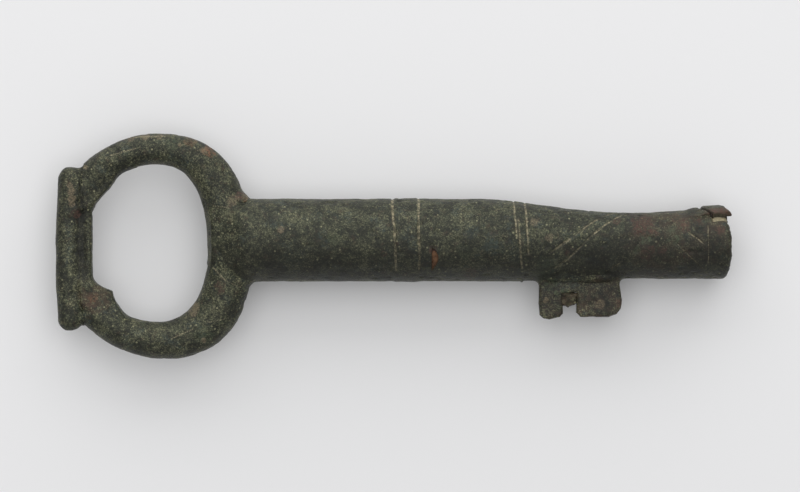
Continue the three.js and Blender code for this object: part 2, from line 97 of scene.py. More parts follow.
def screen(red, green, blue):
    """The linear colour of a screen colour whose parts run from 0 to 255."""
    parts = [part / 255 for part in (red, green, blue)]
    return tuple(p / 12.92 if p <= 0.04045 else ((p + 0.055) / 1.055) ** 2.4 for p in parts)


def colour(name, rgb, description):
    """A colour that a user can change."""
    return FloatVectorProperty(
        name=name, description=description, default=screen(*rgb), size=3, min=0, max=1, subtype="COLOR"
    )


class KeyBarrel(bpy.types.PropertyGroup):
    shank: length("Shank radius", 4.88, "Radius of the barrel's thick part")
    waist_above: length("Waist above", 3.27, "Height of the waist over the barrel's axis")
    waist_below: length("Waist below", 4.55, "Depth of the waist under the barrel's axis")
    waist_half: length("Waist half width", 3.98, "Half width of the waist across the key")
    mouth_above: length("Mouth above", 3.96, "Height of the mouth over the barrel's axis")
    mouth_half: length("Mouth half width", 4.25, "Half width of the mouth across the key")
    taper_start: length("Taper start", 30.4, "Distance from the mouth at which the barrel starts to thin")
    taper: length("Taper length", 16.5, "Length over which the barrel thins")
    waist: length("Waist end", 10.9, "Distance from the mouth at which the barrel flares again")
    bore: length("Bore radius", 2.9, "Radius of the blind bore")
    bore_depth: length("Bore depth", 42.0, "Depth of the blind bore")
    bore_drop: length("Bore drop", 0.35, "How far the bore lies under the barrel's axis")
    ramp: length("End ramp", 4.6, "Length over which the closed end slopes down to the bow")
    end_half: length("End half width", 2.3, "Half width of the closed end across the key")
    end_drop: length("End drop", 0.45, "How much the closed end draws in above and below")
    rim: length("Rim wear", 0.55, "Width of the worn edge round the mouth")
    tear: length("Tear", 2.5, "Length of the tear in the mouth's wall")
    tear_open: length("Open part of the tear", 0.75, "How far the tear is free of earth")
    tear_sink: length("Earth in the tear", 0.32, "How far the earth in the tear lies below the skin")
    tear_from: angle("Tear start", 36.5, "Where the tear starts, up from the side that faces up")
    tear_to: angle("Tear end", 50, "Where the tear ends")
    strip_to: angle("Torn strip end", 122, "Where the bent strip beside the tear ends")
    strip_lift: length("Torn strip lift", 0.36, "How far the torn strip is bent outwards")
    strip_bore: length("Torn strip hollow", 1.1, "How much wider the bore is under the torn strip")
    strip_length: length("Torn strip length", 3.8, "Length of the bent strip")
    line_depth: length("Line depth", 0.13, "Depth of the incised lines")
    nick_depth: length("Nick depth", 0.3, "Depth of the fresh nick")
    around: IntProperty(name="Points round", description="Mesh points round the barrel", default=256)


class KeyBow(bpy.types.PropertyGroup):
    radius: length("Ring radius", 13.3, "Outer radius of the ring")
    shift: length("Ring shift", 0.4, "How far the outline's centre lies towards the barrel")
    swell: length("Ring swell", 0.38, "How much the lower shoulder stands out more")
    flat: length("Shoulder flat", 2.7, "How much the outline is flattened in the barrel's end")
    shoulder: angle("Shoulder", 75, "Half of the angle over which the shoulder runs")
    right: length("Opening right", 6.0, "Reach of the opening towards the barrel")
    left: length("Opening left", 8.9, "Reach of the opening towards the bar")
    up: length("Opening up", 9.65, "Reach of the opening upwards")
    down: length("Opening down", 8.95, "Reach of the opening downwards")
    squareness: factor("Squareness", 2.3, "How square the opening's barrel side is")
    show: length("Show", 0.6, "How far the ring stands out of the barrel's closed end")
    thick: length("Ring thickness", 4.4, "Thickness of the ring across the key")
    thicker: length("Shoulder thickness", 0.8, "How much thicker the shoulder is")
    thin_end: length("End thickness", 3.1, "Thickness of the ring where it enters the bar")
    section: factor("Section", 2.1, "How square the ring's section is: 2 is an ellipse")
    ring_end: angle("Ring end", 156, "Half of the angle over which the ring runs")
    bar_face: length("Bar face", 9.1, "Distance from the bow's centre to the bar's inner side")
    bar_width: length("Bar width", 2.85, "Width of the bar")
    bar_end: length("Bar end", 8.55, "Distance from the bow's centre to the inner side of the bar's ends")
    end_reach: length("Bar end reach", 5.6, "Distance across the key at which the bar's ends begin")
    bar_thick: length("Bar thickness", 3.36, "Thickness of the bar across the key")
    bar_belly: length("Bar belly", 0.4, "How much the bar's middle stands out more than its ends")
    valley_thick: length("Valley thickness", 2.0, "Thickness between the bar and its lip")
    lip_face: length("Lip face", 7.75, "Distance from the bow's centre to the lip's inner edge")
    lip_width: length("Lip width", 0.62, "Width of the lip")
    lip_thick: length("Lip thickness", 2.5, "Thickness of the lip")
    lip_half: length("Lip half length", 4.9, "Half of the lip's length")
    web_thick: length("Web thickness", 2.9, "Thickness of the seam metal in the bar's corners")
    fillet: length("Fillet", 0.8, "Width of the fillet between the ring and the barrel")
    bar_fillet: length("Bar fillet", 0.65, "Width of the fillet between the ring and the bar")


class KeyBit(bpy.types.PropertyGroup):
    slot_start: length("Slot start", 2.75, "Distance from the bit's bow side to its slot")
    slot_width: length("Slot width", 1.75, "Width of the slot")
    slot_top: length("Slot top", 6.25, "Depth of the slot's blind end under the barrel's axis")
    heel_drop: length("Heel drop", 0.28, "How much longer the tooth near the bow is")
    lean: length("Lean", 0.42, "How far the edge near the mouth slants")
    crust: length("Crust reach", 1.5, "How far the crust in the slot comes down")
    fillet: length("Bit fillet", 0.95, "Width of the fillet between the bit and the barrel")


class KeyPatina(bpy.types.PropertyGroup):
    dark: colour("Dark patina", (30, 32, 22), "The darkest green-grey")
    middle: colour("Middle patina", (58, 61, 44), "The main green-grey")
    # The pale colour paints pale speckle and also painted glints.
    pale: colour("Pale speckle", (133, 131, 102), "Fine pale mineral speckle")
    green: colour("Green salts", (68, 79, 58), "Green corrosion")
    teal: colour("Blue-green salts", (56, 68, 64), "Blue-green corrosion")
    cuprite: colour("Red oxide", (78, 51, 42), "Red-brown oxide")
    rust: colour("Orange oxide", (122, 84, 58), "Orange-brown oxide")
    earth: colour("Earth", (122, 109, 88), "Tan burial earth in the lines and seams")
    cream: colour("Cream earth", (158, 148, 120), "Pale earth in the incised lines")
    copper: colour("Bare copper", (160, 114, 76), "Fresh metal in the nick")
    # The pit colour paints real pinholes and also painted shade: darker places and bands, the crack and the
    # barrel's lower side.
    pit_and_shade: colour("Pits", (15, 15, 11), "Pinholes, cracks and sheltered hollows")
    brown: colour("Brown patina", (66, 53, 40), "Brown bronze near the mouth and on the bit")


class KeyStage(bpy.types.PropertyGroup):
    lens: factor("Lens", 250, "Focal length of the camera, in millimetres")
    view_width: length("View width", 94.54, "Width of the picture at the barrel's axis")
    table: colour("Table", (227, 227, 228), "The pale table")
    key_power: factor("Key light", 1.9, "Power of the softbox, in watts")
    top_power: factor("Top light", 1.85, "Power of the top light, in watts")
    sky: factor("Room light", 0.5, "Strength of the room's even light")


class KeySettings(bpy.types.PropertyGroup):
    barrel: PointerProperty(type=KeyBarrel)
    bow: PointerProperty(type=KeyBow)
    bit: PointerProperty(type=KeyBit)
    patina: PointerProperty(type=KeyPatina)
    stage: PointerProperty(type=KeyStage)


def settings():
    return bpy.context.scene.bronze_key


# Noise and small curves for the mesh code.
NOISE_TURN = np.array(Euler((0.61, 0.83, 0.47)).to_matrix())
HASH_X, HASH_Y, HASH_Z, HASH_SEED, HASH_LAST = 374761393, 668265263, 1442695041, 1274126177, 2246822519
WORD, HALF_WORD = 0xFFFFFFFF, 0xFFFF
# Corrosion: size of the lumps, number of layers, seed and height, sizes and heights in millimetres.
DENTS = ((5.0, 2, 11, 0.05), (1.3, 3, 21, 0.035))
PIT_SIZE, PIT_SEED, PIT_DEPTH = 0.75 * MM, 41, 0.09 * MM
CRUSTY_SIZE, CRUSTY_SEED = 2.8 * MM, 51
CRUST_SIZE, CRUST_SEED, CRUST_HEIGHT = 0.5 * MM, 52, 0.05 * MM


def lattice(cells, seed):
    """A fixed value from -1 to 1 for each whole-numbered cell."""
    x, y, z = (cells[..., i].astype(np.int64) for i in range(3))
    mixed = (x * HASH_X + y * HASH_Y + z * HASH_Z + seed * HASH_SEED) & WORD
    mixed = ((mixed ^ (mixed >> 13)) * HASH_SEED) & WORD
    mixed = ((mixed ^ (mixed >> 15)) * HASH_LAST) & WORD
    return ((mixed ^ (mixed >> 16)) & HALF_WORD) / (HALF_WORD / 2) - 1


def lumps(points, size, seed=0):
    """Smooth noise from -1 to 1, with lumps of the given size, its cells turned away from the axes."""
    scaled = np.asarray(points) @ NOISE_TURN / size
    cell = np.floor(scaled)
    part = scaled - cell
    part = part * part * part * (part * (part * 6 - 15) + 10)
    total = 0
    for corner in np.ndindex(2, 2, 2):
        weight = np.prod(np.where(np.array(corner) == 1, part, 1 - part), axis=-1)
        total = total + weight * lattice(cell + np.array(corner), seed)
    return total


def rough(points, size, octaves=3, seed=0):
    """Lumps on lumps, each layer half the size and half the height."""
    return sum(lumps(points, size / 2**i, seed + i) / 2**i for i in range(octaves))


def ease(low, high, value):
    t = np.clip((value - low) / (high - low), 0, 1)
    return t * t * (3 - 2 * t)


def blend(a, b, t):
    return a + (b - a) * t


def bell(value, centre, half):
    """1 at the centre, falling to 0 at half the width on both sides."""
    return 1 - ease(0, 1, np.abs(value - centre) / half)


def weathering(points):
    """How far corrosion pushes the surface out at each point: soft dents, small pits and crusty spots."""
    dents = sum(rough(points, size * MM, layers, seed) * height * MM for size, layers, seed, height in DENTS)
    pits = ease(0.35, 0.8, lumps(points, PIT_SIZE, PIT_SEED)) * PIT_DEPTH
    crusty = ease(0.2, 0.7, lumps(points, CRUSTY_SIZE, CRUSTY_SEED))
    return dents - pits + crusty * lumps(points, CRUST_SIZE, CRUST_SEED) * CRUST_HEIGHT


# The smooth form of each piece: how far a point in the frame lies outside it.
# The mouth's flare runs past the mouth by a share of its length, and is full at a share of its rise.
FLARE_PAST, FLARE_FULL = 0.35, 0.85
# Shares of the end ramp: where the drop above and below ends, and how far the sides' slope starts before it.
DROP_END, SLOPE_START = 0.6, -0.12
NEAR_AXIS = 0.05
# Angles round the bow, in degrees, between which the ring thins towards the bar.
RING_THINS = (118, 148)
RING_SINK = 0.12 * MM
# Widths of the fillets between the bar and its end blocks, its valley and its lip, in millimetres.
BAR_JOINS = (0.5, 0.5, 0.9, 0.8)


def barrel_reach(sizes, x):
    """Reach of the barrel's skin above, below and beside its axis at a distance from its closed end."""
    taper = ease(BARREL_LENGTH - sizes.taper_start, BARREL_LENGTH - sizes.taper_start + sizes.taper, x)
    flare = ease(BARREL_LENGTH - sizes.waist, BARREL_LENGTH + sizes.waist * FLARE_PAST, x)
    flare = np.minimum(flare / FLARE_FULL, 1)
    above = blend(blend(sizes.shank, sizes.waist_above, taper), sizes.mouth_above, flare)
    below = blend(sizes.shank, sizes.waist_below, taper)
    beside = blend(blend(sizes.shank, sizes.waist_half, taper), sizes.mouth_half, flare)
    draw = sizes.end_drop * ease(sizes.ramp * DROP_END, 0, x)
    beside = blend(sizes.end_half, beside, ease(sizes.ramp * SLOPE_START, sizes.ramp, x))
    return above - draw, below - draw, beside


def barrel_distance(points):
    x = points[..., 0] - BARREL_LOW.x
    y, z = points[..., 1] - AXIS.y, points[..., 2] - AXIS.z
    above, below, beside = barrel_reach(settings().barrel, x)
    share = np.hypot(y / np.where(y > 0, above, below), z / beside)
    radial = np.hypot(y, z) * (1 - 1 / np.maximum(share, NEAR_AXIS))
    return np.maximum(radial, -x)


def bow_centre():
    sizes = settings().bow
    return np.array([BARREL_LOW.x - sizes.right - sizes.show, (RING_LOW.y + RING_HIGH.y) / 2, AXIS.z])


def ring_outer(sizes, turn):
    fade = np.minimum(np.abs(turn) / sizes.shoulder, 1)
    flat = sizes.flat * np.cos(fade * math.pi / 2) ** 2
    swell = np.where(np.sin(turn) < 0, -sizes.swell * np.sin(2 * turn), 0)
    return sizes.radius + sizes.shift * np.cos(turn) + swell - flat


def ring_inner(sizes, turn):
    right = np.cos(turn) > 0
    wide = np.where(right, sizes.right, sizes.left)
    high = np.where(np.sin(turn) > 0, sizes.up, sizes.down)
    power = np.where(right, sizes.squareness, 2)
    return (np.abs(np.cos(turn) / wide) ** power + np.abs(np.sin(turn) / high) ** power) ** (-1 / power)


def ring_section(sizes, turn):
    """Middle, half width and half thickness of the ring's section at a turn round the bow."""
    inner, outer = ring_inner(sizes, turn), ring_outer(sizes, turn)
    shoulder = np.cos(np.minimum(np.abs(turn) / sizes.shoulder, 1) * math.pi / 2) ** 2
    ends = ease(*np.radians(RING_THINS), np.abs(turn))
    thick = blend(sizes.thick + sizes.thicker * shoulder, sizes.thin_end, ends)
    return (inner + outer) / 2, (outer - inner) / 2, thick / 2


def ring_stop(sizes):
    """Distance from the bow's centre at which the ring ends inside the bar's ends."""
    return sizes.bar_end + RING_SINK


def ring_distance(points):
    sizes = settings().bow
    off = points - bow_centre()
    middle, half, thick = ring_section(sizes, np.arctan2(off[..., 1], off[..., 0]))
    across = np.abs(np.hypot(off[..., 0], off[..., 1]) - middle) / half
    share = (across**sizes.section + (np.abs(off[..., 2]) / thick) ** sizes.section) ** (1 / sizes.section)
    return np.maximum((share - 1) * np.minimum(half, thick), -ring_stop(sizes) - off[..., 0])


def rounded(away, rounding):
    """Distance to a form with rounded edges, from the distances to its faces stacked last."""
    away = away + rounding
    return np.linalg.norm(np.maximum(away, 0), axis=-1) + np.minimum(away.max(-1), 0) - rounding


def block_distance(points, low, high, rounding):
    low, high = np.array(low), np.array(high)
    return rounded(np.abs(points - (low + high) / 2) - (high - low) / 2, rounding)


def bar_blocks(sizes):
    """Corners and edge rounding of the bar, its valley and its lip, from the bow's centre."""
    low, high = BAR_LOW.y - bow_centre()[1], BAR_HIGH.y - bow_centre()[1]
    bar, lip = -sizes.bar_face - sizes.bar_width, -sizes.lip_face

    def block(start, end, below, above, thick, rounding):
        return (start, below, -thick / 2), (end, above, thick / 2), rounding * MM

    half = sizes.lip_half
    return (
        block(bar, -sizes.bar_face, low, high, sizes.bar_thick, 1.3),
        block(bar + 1 * MM, -sizes.bar_end, sizes.end_reach, high, sizes.thin_end, 0.5),
        block(bar + 1 * MM, -sizes.bar_end - 0.2 * MM, low + 0.3 * MM, -sizes.end_reach, sizes.thin_end, 0.9),
        block(bar + 1 * MM, lip - 0.1 * MM, -half, half, sizes.valley_thick, 0.3),
        block(lip - sizes.lip_width, lip, -half, half, sizes.lip_thick, 0.28),
    )


def bar_distance(points):
    sizes = settings().bow
    off = points - bow_centre()
    along = (points[..., 1] - (BAR_HIGH.y + BAR_LOW.y) / 2) / ((BAR_HIGH.y - BAR_LOW.y) / 2)
    bowed = off.copy()
    outer = ease(-sizes.bar_face, -sizes.bar_face - sizes.bar_width, off[..., 0])
    bowed[..., 0] -= sizes.bar_belly * along**2 * outer
    bar, *others = bar_blocks(sizes)
    total = block_distance(bowed, *bar)
    for block, width in zip(others, BAR_JOINS):
        total = smooth_least(total, block_distance(off, *block), width * MM)
    return total


def outline_distance(points, outline):
    """Distance across the key to a closed outline, negative inside it."""
    nearest = np.full(points.shape[:-1], np.inf)
    inside = np.zeros(points.shape[:-1], bool)
    corners = np.array(outline)
    for a, b in zip(corners, np.roll(corners, -1, axis=0)):
        edge, off = b - a, points - a
        along = np.clip(off @ edge / (edge @ edge), 0, 1)
        nearest = np.minimum(nearest, ((off - along[..., None] * edge) ** 2).sum(-1))
        between = (a[1] > points[..., 1]) != (b[1] > points[..., 1])
        if a[1] != b[1]:
            inside ^= between & (off[..., 0] < edge[0] * off[..., 1] / edge[1])
    return np.where(inside, -1, 1) * np.sqrt(nearest)


def plate_distance(points, outline, half_thick, rounding):
    """Distance to a plate of this outline that lies across the key's middle."""
    away = [outline_distance(points[..., :2], outline), np.abs(points[..., 2] - AXIS.z) - half_thick]
    return rounded(np.stack(away, -1), rounding)


def strand_distance(points, start, end, radius):
    """Distance to a straight bead with round ends."""
    start, way = np.array(start), np.array(end) - np.array(start)
    off = points - start
    along = np.clip(off @ way / (way @ way), 0, 1)
    return np.linalg.norm(off - along[..., None] * way, axis=-1) - radius


def smooth_least(first, second, width):
    """The lesser of two distances, rounded off where they are nearly alike."""
    share = np.clip(1 - np.abs(first - second) / width, 0, 1)
    return np.minimum(first, second) - share * share * width / 4


# Seam metal in the bar's corners: its outline from the bow's centre, first along X and then along Y, in
# millimetres.
WEBS = {
    "bar_bead_upper": (
        (-7.75, -6.7, -5.65, -5.2, -4.9, -6.5, -8.8, -9.2),
        (4.75, 5.75, 6.8, 7.6, 9.0, 9.0, 6.8, 4.4),
    ),
    "bar_bead_lower": (
        (-7.75, -5.3, -5.1, -4.4, -4.0, -6.5, -8.8, -9.2),
        (-4.3, -5.3, -6.1, -7.5, -8.7, -8.7, -6.6, -4.0),
    ),
}
# Seam beads: both ends along X, Y and Z from the barrel's axis in millimetres, and radius.
BEADS = {
    "bow_bead_upper": ((-18.0, 4.8, -1.3), (-18.0, 4.8, 1.3), 0.62),
    "bow_bead_lower": ((-17.2, -4.75, -1.3), (-17.2, -4.75, 1.3), 0.3),
    "bit_bead_front": ((18.6, -4.25, 1.45), (25.3, -4.25, 1.45), 0.3),
    "bit_bead_back": ((18.6, -4.25, -1.45), (25.3, -4.25, -1.45), 0.3),
}
WEB_EDGE, BIT_EDGE, CRUST_EDGE = 0.35 * MM, 0.34 * MM, 0.25 * MM
WEB_FILLET, BEAD_FILLET = 1.0 * MM, 0.7 * MM
# How far the bit's root lies under the axis, and how far its faces lie inside the solid's.
BIT_ROOT, BIT_SKIN = 3.3 * MM, 0.04 * MM
CRUST_HALF = 0.95 * MM


def web_outline(name):
    centre = bow_centre()
    return [(centre[0] + x * MM, centre[1] + y * MM) for x, y in zip(*WEBS[name])]


def bit_outline(sizes):
    """The bit's outline: two teeth with a slot between them, and its root inside the barrel."""
    heel, toe = BIT_LOW.x, BIT_HIGH.x
    tip_heel = BIT_LOW.y
    tip = tip_heel + sizes.heel_drop
    slot_a = heel + sizes.slot_start
    slot_b = slot_a + sizes.slot_width
    top = AXIS.y - sizes.slot_top
    root = AXIS.y - BIT_ROOT
    return [
        (heel + 0.1 * MM, root),
        (heel, tip_heel + 1.9 * MM),
        (heel + 0.14 * MM, tip_heel + 0.5 * MM),
        (heel + 0.55 * MM, tip_heel + 0.12 * MM),
        (heel + 1.25 * MM, tip_heel),
        (slot_a - 0.3 * MM, tip + 0.02 * MM),
        (slot_a + 0.05 * MM, tip + 0.4 * MM),
        (slot_a + 0.02 * MM, top),
        (slot_b, top + 0.1 * MM),
        (slot_b - 0.06 * MM, tip + 0.5 * MM),
        (slot_b + 0.4 * MM, tip),
        (toe - 1.5 * MM, tip - 0.04 * MM),
        (toe - 0.6 * MM, tip + 0.3 * MM),
        (toe - 0.1 * MM, tip + 1.0 * MM),
        (toe, tip + 2.0 * MM),
        (toe - sizes.lean * 0.6, AXIS.y - 5.2 * MM),
        (toe - sizes.lean, root),
    ]


def bead_ends(name):
    start, end, radius = BEADS[name]
    origin = np.array((0, AXIS.y, AXIS.z))
    return origin + np.array(start) * MM, origin + np.array(end) * MM, radius * MM


def forms():
    """Each piece's form, and how widely it flows into the forms before it."""
    bow, bit = settings().bow, settings().bit
    found = {
        "barrel": (barrel_distance, 0),
        "bow_ring": (ring_distance, bow.fillet),
        "bow_bar": (bar_distance, bow.bar_fillet),
    }

    def plate(outline, half_thick, rounding):
        return partial(plate_distance, outline=outline, half_thick=half_thick, rounding=rounding)

    for name in WEBS:
        found[name] = (plate(web_outline(name), bow.web_thick / 2, WEB_EDGE), WEB_FILLET)
    half_thick = (BIT_HIGH.z - BIT_LOW.z) / 2 - BIT_SKIN
    found["bit"] = (plate(bit_outline(bit), half_thick, BIT_EDGE), bit.fillet)
    for name in BEADS:
        start, end, radius = bead_ends(name)
        found[name] = (partial(strand_distance, start=start, end=end, radius=radius), BEAD_FILLET)
    return found


def whole_distance(points):
    """Distance to all pieces flowed into one another."""
    total = None
    for form, width in forms().values():
        total = form(points) if total is None else smooth_least(total, form(points), width)
    return total


# Settling points on a form: reach over which the slope is measured, longest step, least slope and rounds.
PROBE, STRIDE, LEAST_SLOPE, ROUNDS = 0.02 * MM, 0.3 * MM, 0.2, 4
# Flowing a piece into its neighbours: how near they must be, how deep it may lie in them before it dives
# under them, how far it dives, and over how many dives it then comes back to its own form.
NEIGHBOUR, OVERLAP, DIVE, RETURN = 2.2 * MM, 0.25 * MM, 0.45 * MM, 2.2


def settled(points, form, level=0.0):
    """Points moved on to the level of a form, the short way."""
    for _ in range(ROUNDS):
        rise = [(form(points + side) - form(points - side)) / (2 * PROBE) for side in np.eye(3) * PROBE]
        rise = np.stack(rise, -1)
        step = np.clip(form(points) - level, -STRIDE, STRIDE) / np.maximum((rise**2).sum(-1), LEAST_SLOPE)
        points = points - step[..., None] * rise
    return points


def flowed(name, points):
    """One piece's smooth surface, flowed into its neighbours and diving under them where they take over."""
    shape = points.shape
    points = points.reshape(-1, 3)
    outside = np.min([form(points) for key, (form, _) in forms().items() if key != name], axis=0)
    close = outside < NEIGHBOUR
    start, outside = points[close], outside[close]
    moved = settled(start, whole_distance, -DIVE * ease(OVERLAP, OVERLAP + DIVE, -outside))
    moved = blend(moved, start, ease(OVERLAP + DIVE, OVERLAP + RETURN * DIVE, -outside)[:, None])
    points = points.copy()
    points[close] = moved
    return points.reshape(shape)


# Meshes.
def grid_faces(rows, sides):
    """Quads over rows of points that each run round a ring."""
    row, side = np.meshgrid(np.arange(rows - 1), np.arange(sides), indexing="ij")
    after = (side + 1) % sides
    quads = [row * sides + side, row * sides + after, (row + 1) * sides + after, (row + 1) * sides + side]
    return np.stack(quads, -1).reshape(-1, 4)


def volume_of(points, quads, triangles):
    corners = np.concatenate([quads[:, [0, 1, 2]], quads[:, [0, 2, 3]], triangles])
    a, b, c = (points[corners[:, i]] for i in range(3))
    return np.einsum("ij,ij->i", a, np.cross(b, c)).sum() / 6


def shell(name, rings, material, nodes, attributes=None):
    """A closed mesh over rings of points, with a fan over each end, which stands for CAD nodes."""
    rows, sides = rings.shape[:2]
    quads = grid_faces(rows, sides)
    points = np.concatenate([rings.reshape(-1, 3), [rings[0].mean(0), rings[-1].mean(0)]])
    side = np.arange(sides)
    after = (side + 1) % sides
    first = np.stack([after, side, np.full(sides, rows * sides)], -1)
    row = (rows - 1) * sides
    last = np.stack([row + side, row + after, np.full(sides, rows * sides + 1)], -1)
    faces = quads.tolist() + first.tolist() + last.tolist()
    if volume_of(points, quads, np.concatenate([first, last])) < 0:
        faces = [face[::-1] for face in faces]
    mesh = bpy.data.meshes.new(name)
    mesh.from_pydata(points.tolist(), [], faces)
    mesh.validate()
    for key, values in (attributes or {}).items():
        filled = np.concatenate([values.reshape(-1), [values[0].mean(), values[-1].mean()]])
        mesh.attributes.new(key, "FLOAT", "POINT").data.foreach_set("value", filled.astype(np.float32))
    mesh.polygons.foreach_set("use_smooth", [True] * len(mesh.polygons))
    mesh.update()
    piece = bpy.data.objects.new(name, mesh)
    bpy.context.scene.collection.objects.link(piece)
    return dressed(piece, material, nodes)


def dressed(piece, material, nodes):
    """The piece with its material, standing for CAD nodes."""
    piece.data.materials.clear()
    piece.data.materials.append(material)
    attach(piece, "root")
    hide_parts(*nodes)
    return piece


def ring_normals(rings):
    """Outward unit normals of rings of points, worked out from their neighbours."""
    along = np.gradient(rings, axis=0)
    around = np.roll(rings, -1, axis=1) - np.roll(rings, 1, axis=1)
    normal = np.cross(along, around)
    normal = normal / np.maximum(np.linalg.norm(normal, axis=-1, keepdims=True), 1e-12)
    outward = np.einsum("rsi,rsi->rs", normal, rings - rings.mean(axis=1, keepdims=True)).sum()
    return normal if outward > 0 else -normal


def inside_box(points, low, high):
    return np.clip(points, np.array(low), np.array(high))


def prism(outline, low, high):
    """Points and faces of a straight block over an outline, from one height to another."""
    count = len(outline)
    points = [(x, y, low) for x, y in outline] + [(x, y, high) for x, y in outline]
    faces = [[i, (i + 1) % count, count + (i + 1) % count, count + i] for i in range(count)]
    return points, faces + [list(range(count))[::-1], list(range(count, 2 * count))]


def rectangle(low, high):
    return [(low[0], low[1]), (high[0], low[1]), (high[0], high[1]), (low[0], high[1])]


def cast(name, prisms, form, voxel, strength=1.0):
    """A fine mesh of the form, started from straight blocks, flowed into its neighbours and weathered."""
    points, faces = [], []
    for block_points, block_faces in prisms:
        faces += [[len(points) + corner for corner in face] for face in block_faces]
        points += block_points
    mesh = bpy.data.meshes.new(name)
    mesh.from_pydata([tuple(point) for point in points], [], faces)
    piece = bpy.data.objects.new("key_" + name, mesh)
    bpy.context.scene.collection.objects.link(piece)
    remesh = piece.modifiers.new("remesh", "REMESH")
    remesh.mode = "VOXEL"
    remesh.voxel_size = voxel
    made = bpy.data.meshes.new_from_object(piece.evaluated_get(bpy.context.evaluated_depsgraph_get()))
    piece.modifiers.clear()
    made.name = piece.name
    piece.data = made
    smooth = np.empty(len(made.vertices) * 3)
    made.vertices.foreach_get("co", smooth)
    smooth = settled(smooth.reshape(-1, 3), form)
    if name in forms():
        smooth = flowed(name, smooth)
    made.vertices.foreach_set("co", smooth.ravel())
    made.update()
    normals = np.empty(len(made.vertices) * 3)
    made.vertices.foreach_get("normal", normals)
    worn = smooth + normals.reshape(-1, 3) * (weathering(smooth) * strength)[:, None]
    made.vertices.foreach_set("co", inside_box(worn, *CAD_BOX).ravel())
    made.polygons.foreach_set("use_smooth", [True] * len(made.polygons))
    made.update()
    return piece


# Shader maths.
class Socket:
    """An output socket that can be used in sums."""

    def __init__(self, finish, socket):
        self.finish = finish
        self.socket = socket

    def maths(self, operation, first, second, clamp=False):
        options = {"operation": operation, "use_clamp": clamp}
        return self.finish.node("ShaderNodeMath", options, {0: first, 1: second})

    def __add__(self, other):
        return self.maths("ADD", self, other)

    __radd__ = __add__

    def __sub__(self, other):
        return self.maths("SUBTRACT", self, other)

    def __rsub__(self, other):
        return self.maths("SUBTRACT", other, self)

    def __mul__(self, other):
        return self.maths("MULTIPLY", self, other)

    def __truediv__(self, other):
        return self.maths("DIVIDE", self, other)

    def clamped(self):
        return self.maths("ADD", self, 0.0, clamp=True)

    def largest(self, other):
        return self.maths("MAXIMUM", self, other)


class Finish:
    """A material or world and its nodes."""

    def __init__(self, holder):
        holder.use_nodes = True
        self.holder = holder
        self.tree = holder.node_tree
        self.tree.nodes.clear()

    def node(self, kind, options=None, inputs=None, output=0):
        made = self.tree.nodes.new(kind)
        for key, value in (options or {}).items():
            setattr(made, key, value)
        for key, value in (inputs or {}).items():
            if isinstance(value, Socket):
                self.tree.links.new(value.socket, made.inputs[key])
            else:
                made.inputs[key].default_value = value
        return Socket(self, made.outputs[output]) if made.outputs else None

    def shows(self, surface, kind="ShaderNodeOutputMaterial"):
        """Ends the tree in this shader."""
        self.node(kind, None, {"Surface": surface})
        return self.holder

    def place(self):
        return self.node("ShaderNodeTexCoord", output="Object")

    def vector(self, operation, first, second, output=0):
        return self.node("ShaderNodeVectorMath", {"operation": operation}, {0: first, 1: second}, output)

    def noise(self, size, detail, roughness, offset=0.0):
        """Noise from 0 to 1 whose lumps have the given size."""
        moved = self.vector("ADD", self.place(), (offset, offset, offset))
        values = {"Vector": moved, "Scale": 1 / size, "Detail": detail, "Roughness": roughness}
        return self.node("ShaderNodeTexNoise", None, values, "Fac")

    def cells(self, size):
        """Distance to the nearest of scattered points, as a share of their spacing."""
        values = {"Vector": self.place(), "Scale": 1 / size}
        return self.node("ShaderNodeTexVoronoi", None, values, "Distance")

    def step(self, value, low, high):
        options = {"interpolation_type": "SMOOTHSTEP"}
        inputs = {"Value": value, "From Min": low, "From Max": high}
        return self.node("ShaderNodeMapRange", options, inputs)

    def mix(self, first, second, factor):
        options = {"data_type": "RGBA", "clamp_factor": True}
        return self.node("ShaderNodeMix", options, {0: factor, 6: first, 7: second}, 2)

    def attribute(self, name):
        return self.node("ShaderNodeAttribute", {"attribute_name": name}, None, "Fac")


def solid_colour(value):
    return (*value, 1.0)


# Marks in the patina: place along X and Y in millimetres, radius in millimetres, strength.
RED_MARKS = (
    (29.4, 2.4, 1.4, 0.85),
    (28.6, 3.0, 0.8, 0.8),
    (30.6, 1.7, 0.6, 0.8),
    (30.2, -0.4, 0.5, 0.95),
    (29.6, -1.0, 0.8, 0.6),
    (31.6, -0.5, 0.55, 0.8),
    (34.2, 2.4, 0.8, 0.8),
    (33.2, 3.2, 0.7, 0.6),
    (35.9, 3.1, 0.4, 0.9),
    (26.3, 3.0, 0.6, 0.7),
    (38.4, 1.9, 0.6, 0.8),
    (34.6, -1.0, 0.6, 0.6),
    (20.4, -0.8, 0.4, 0.6),
    (9.0, -3.3, 0.9, 0.6),
    (-1.1, -0.9, 0.4, 0.6),
    (0.5, 0.4, 0.3, 0.6),
    (4.65, -0.4, 0.6, 0.9),
    (-18.1, 5.9, 0.6, 0.8),
    (-20.4, -4.8, 0.8, 0.6),
    (-37.4, 3.9, 0.6, 0.8),
    (-35.9, -6.6, 1.1, 0.4),
    (26.8, -6.8, 0.7, 0.8),
    (37.4, 4.1, 0.5, 0.6),
)
RUST_MARKS = (
    (39.1, 3.6, 0.55, 0.9),
    (38.4, 3.9, 0.35, 0.7),
    (-21.5, 10.9, 0.5, 0.8),
    (-21.9, 11.2, 0.75, 0.9),
    (-24.0, 12.4, 0.8, 0.4),
    (-35.4, -6.1, 0.7, 0.4),
    (-17.4, 5.4, 0.4, 0.6),
    (-20.0, 11.3, 0.5, 0.4),
)
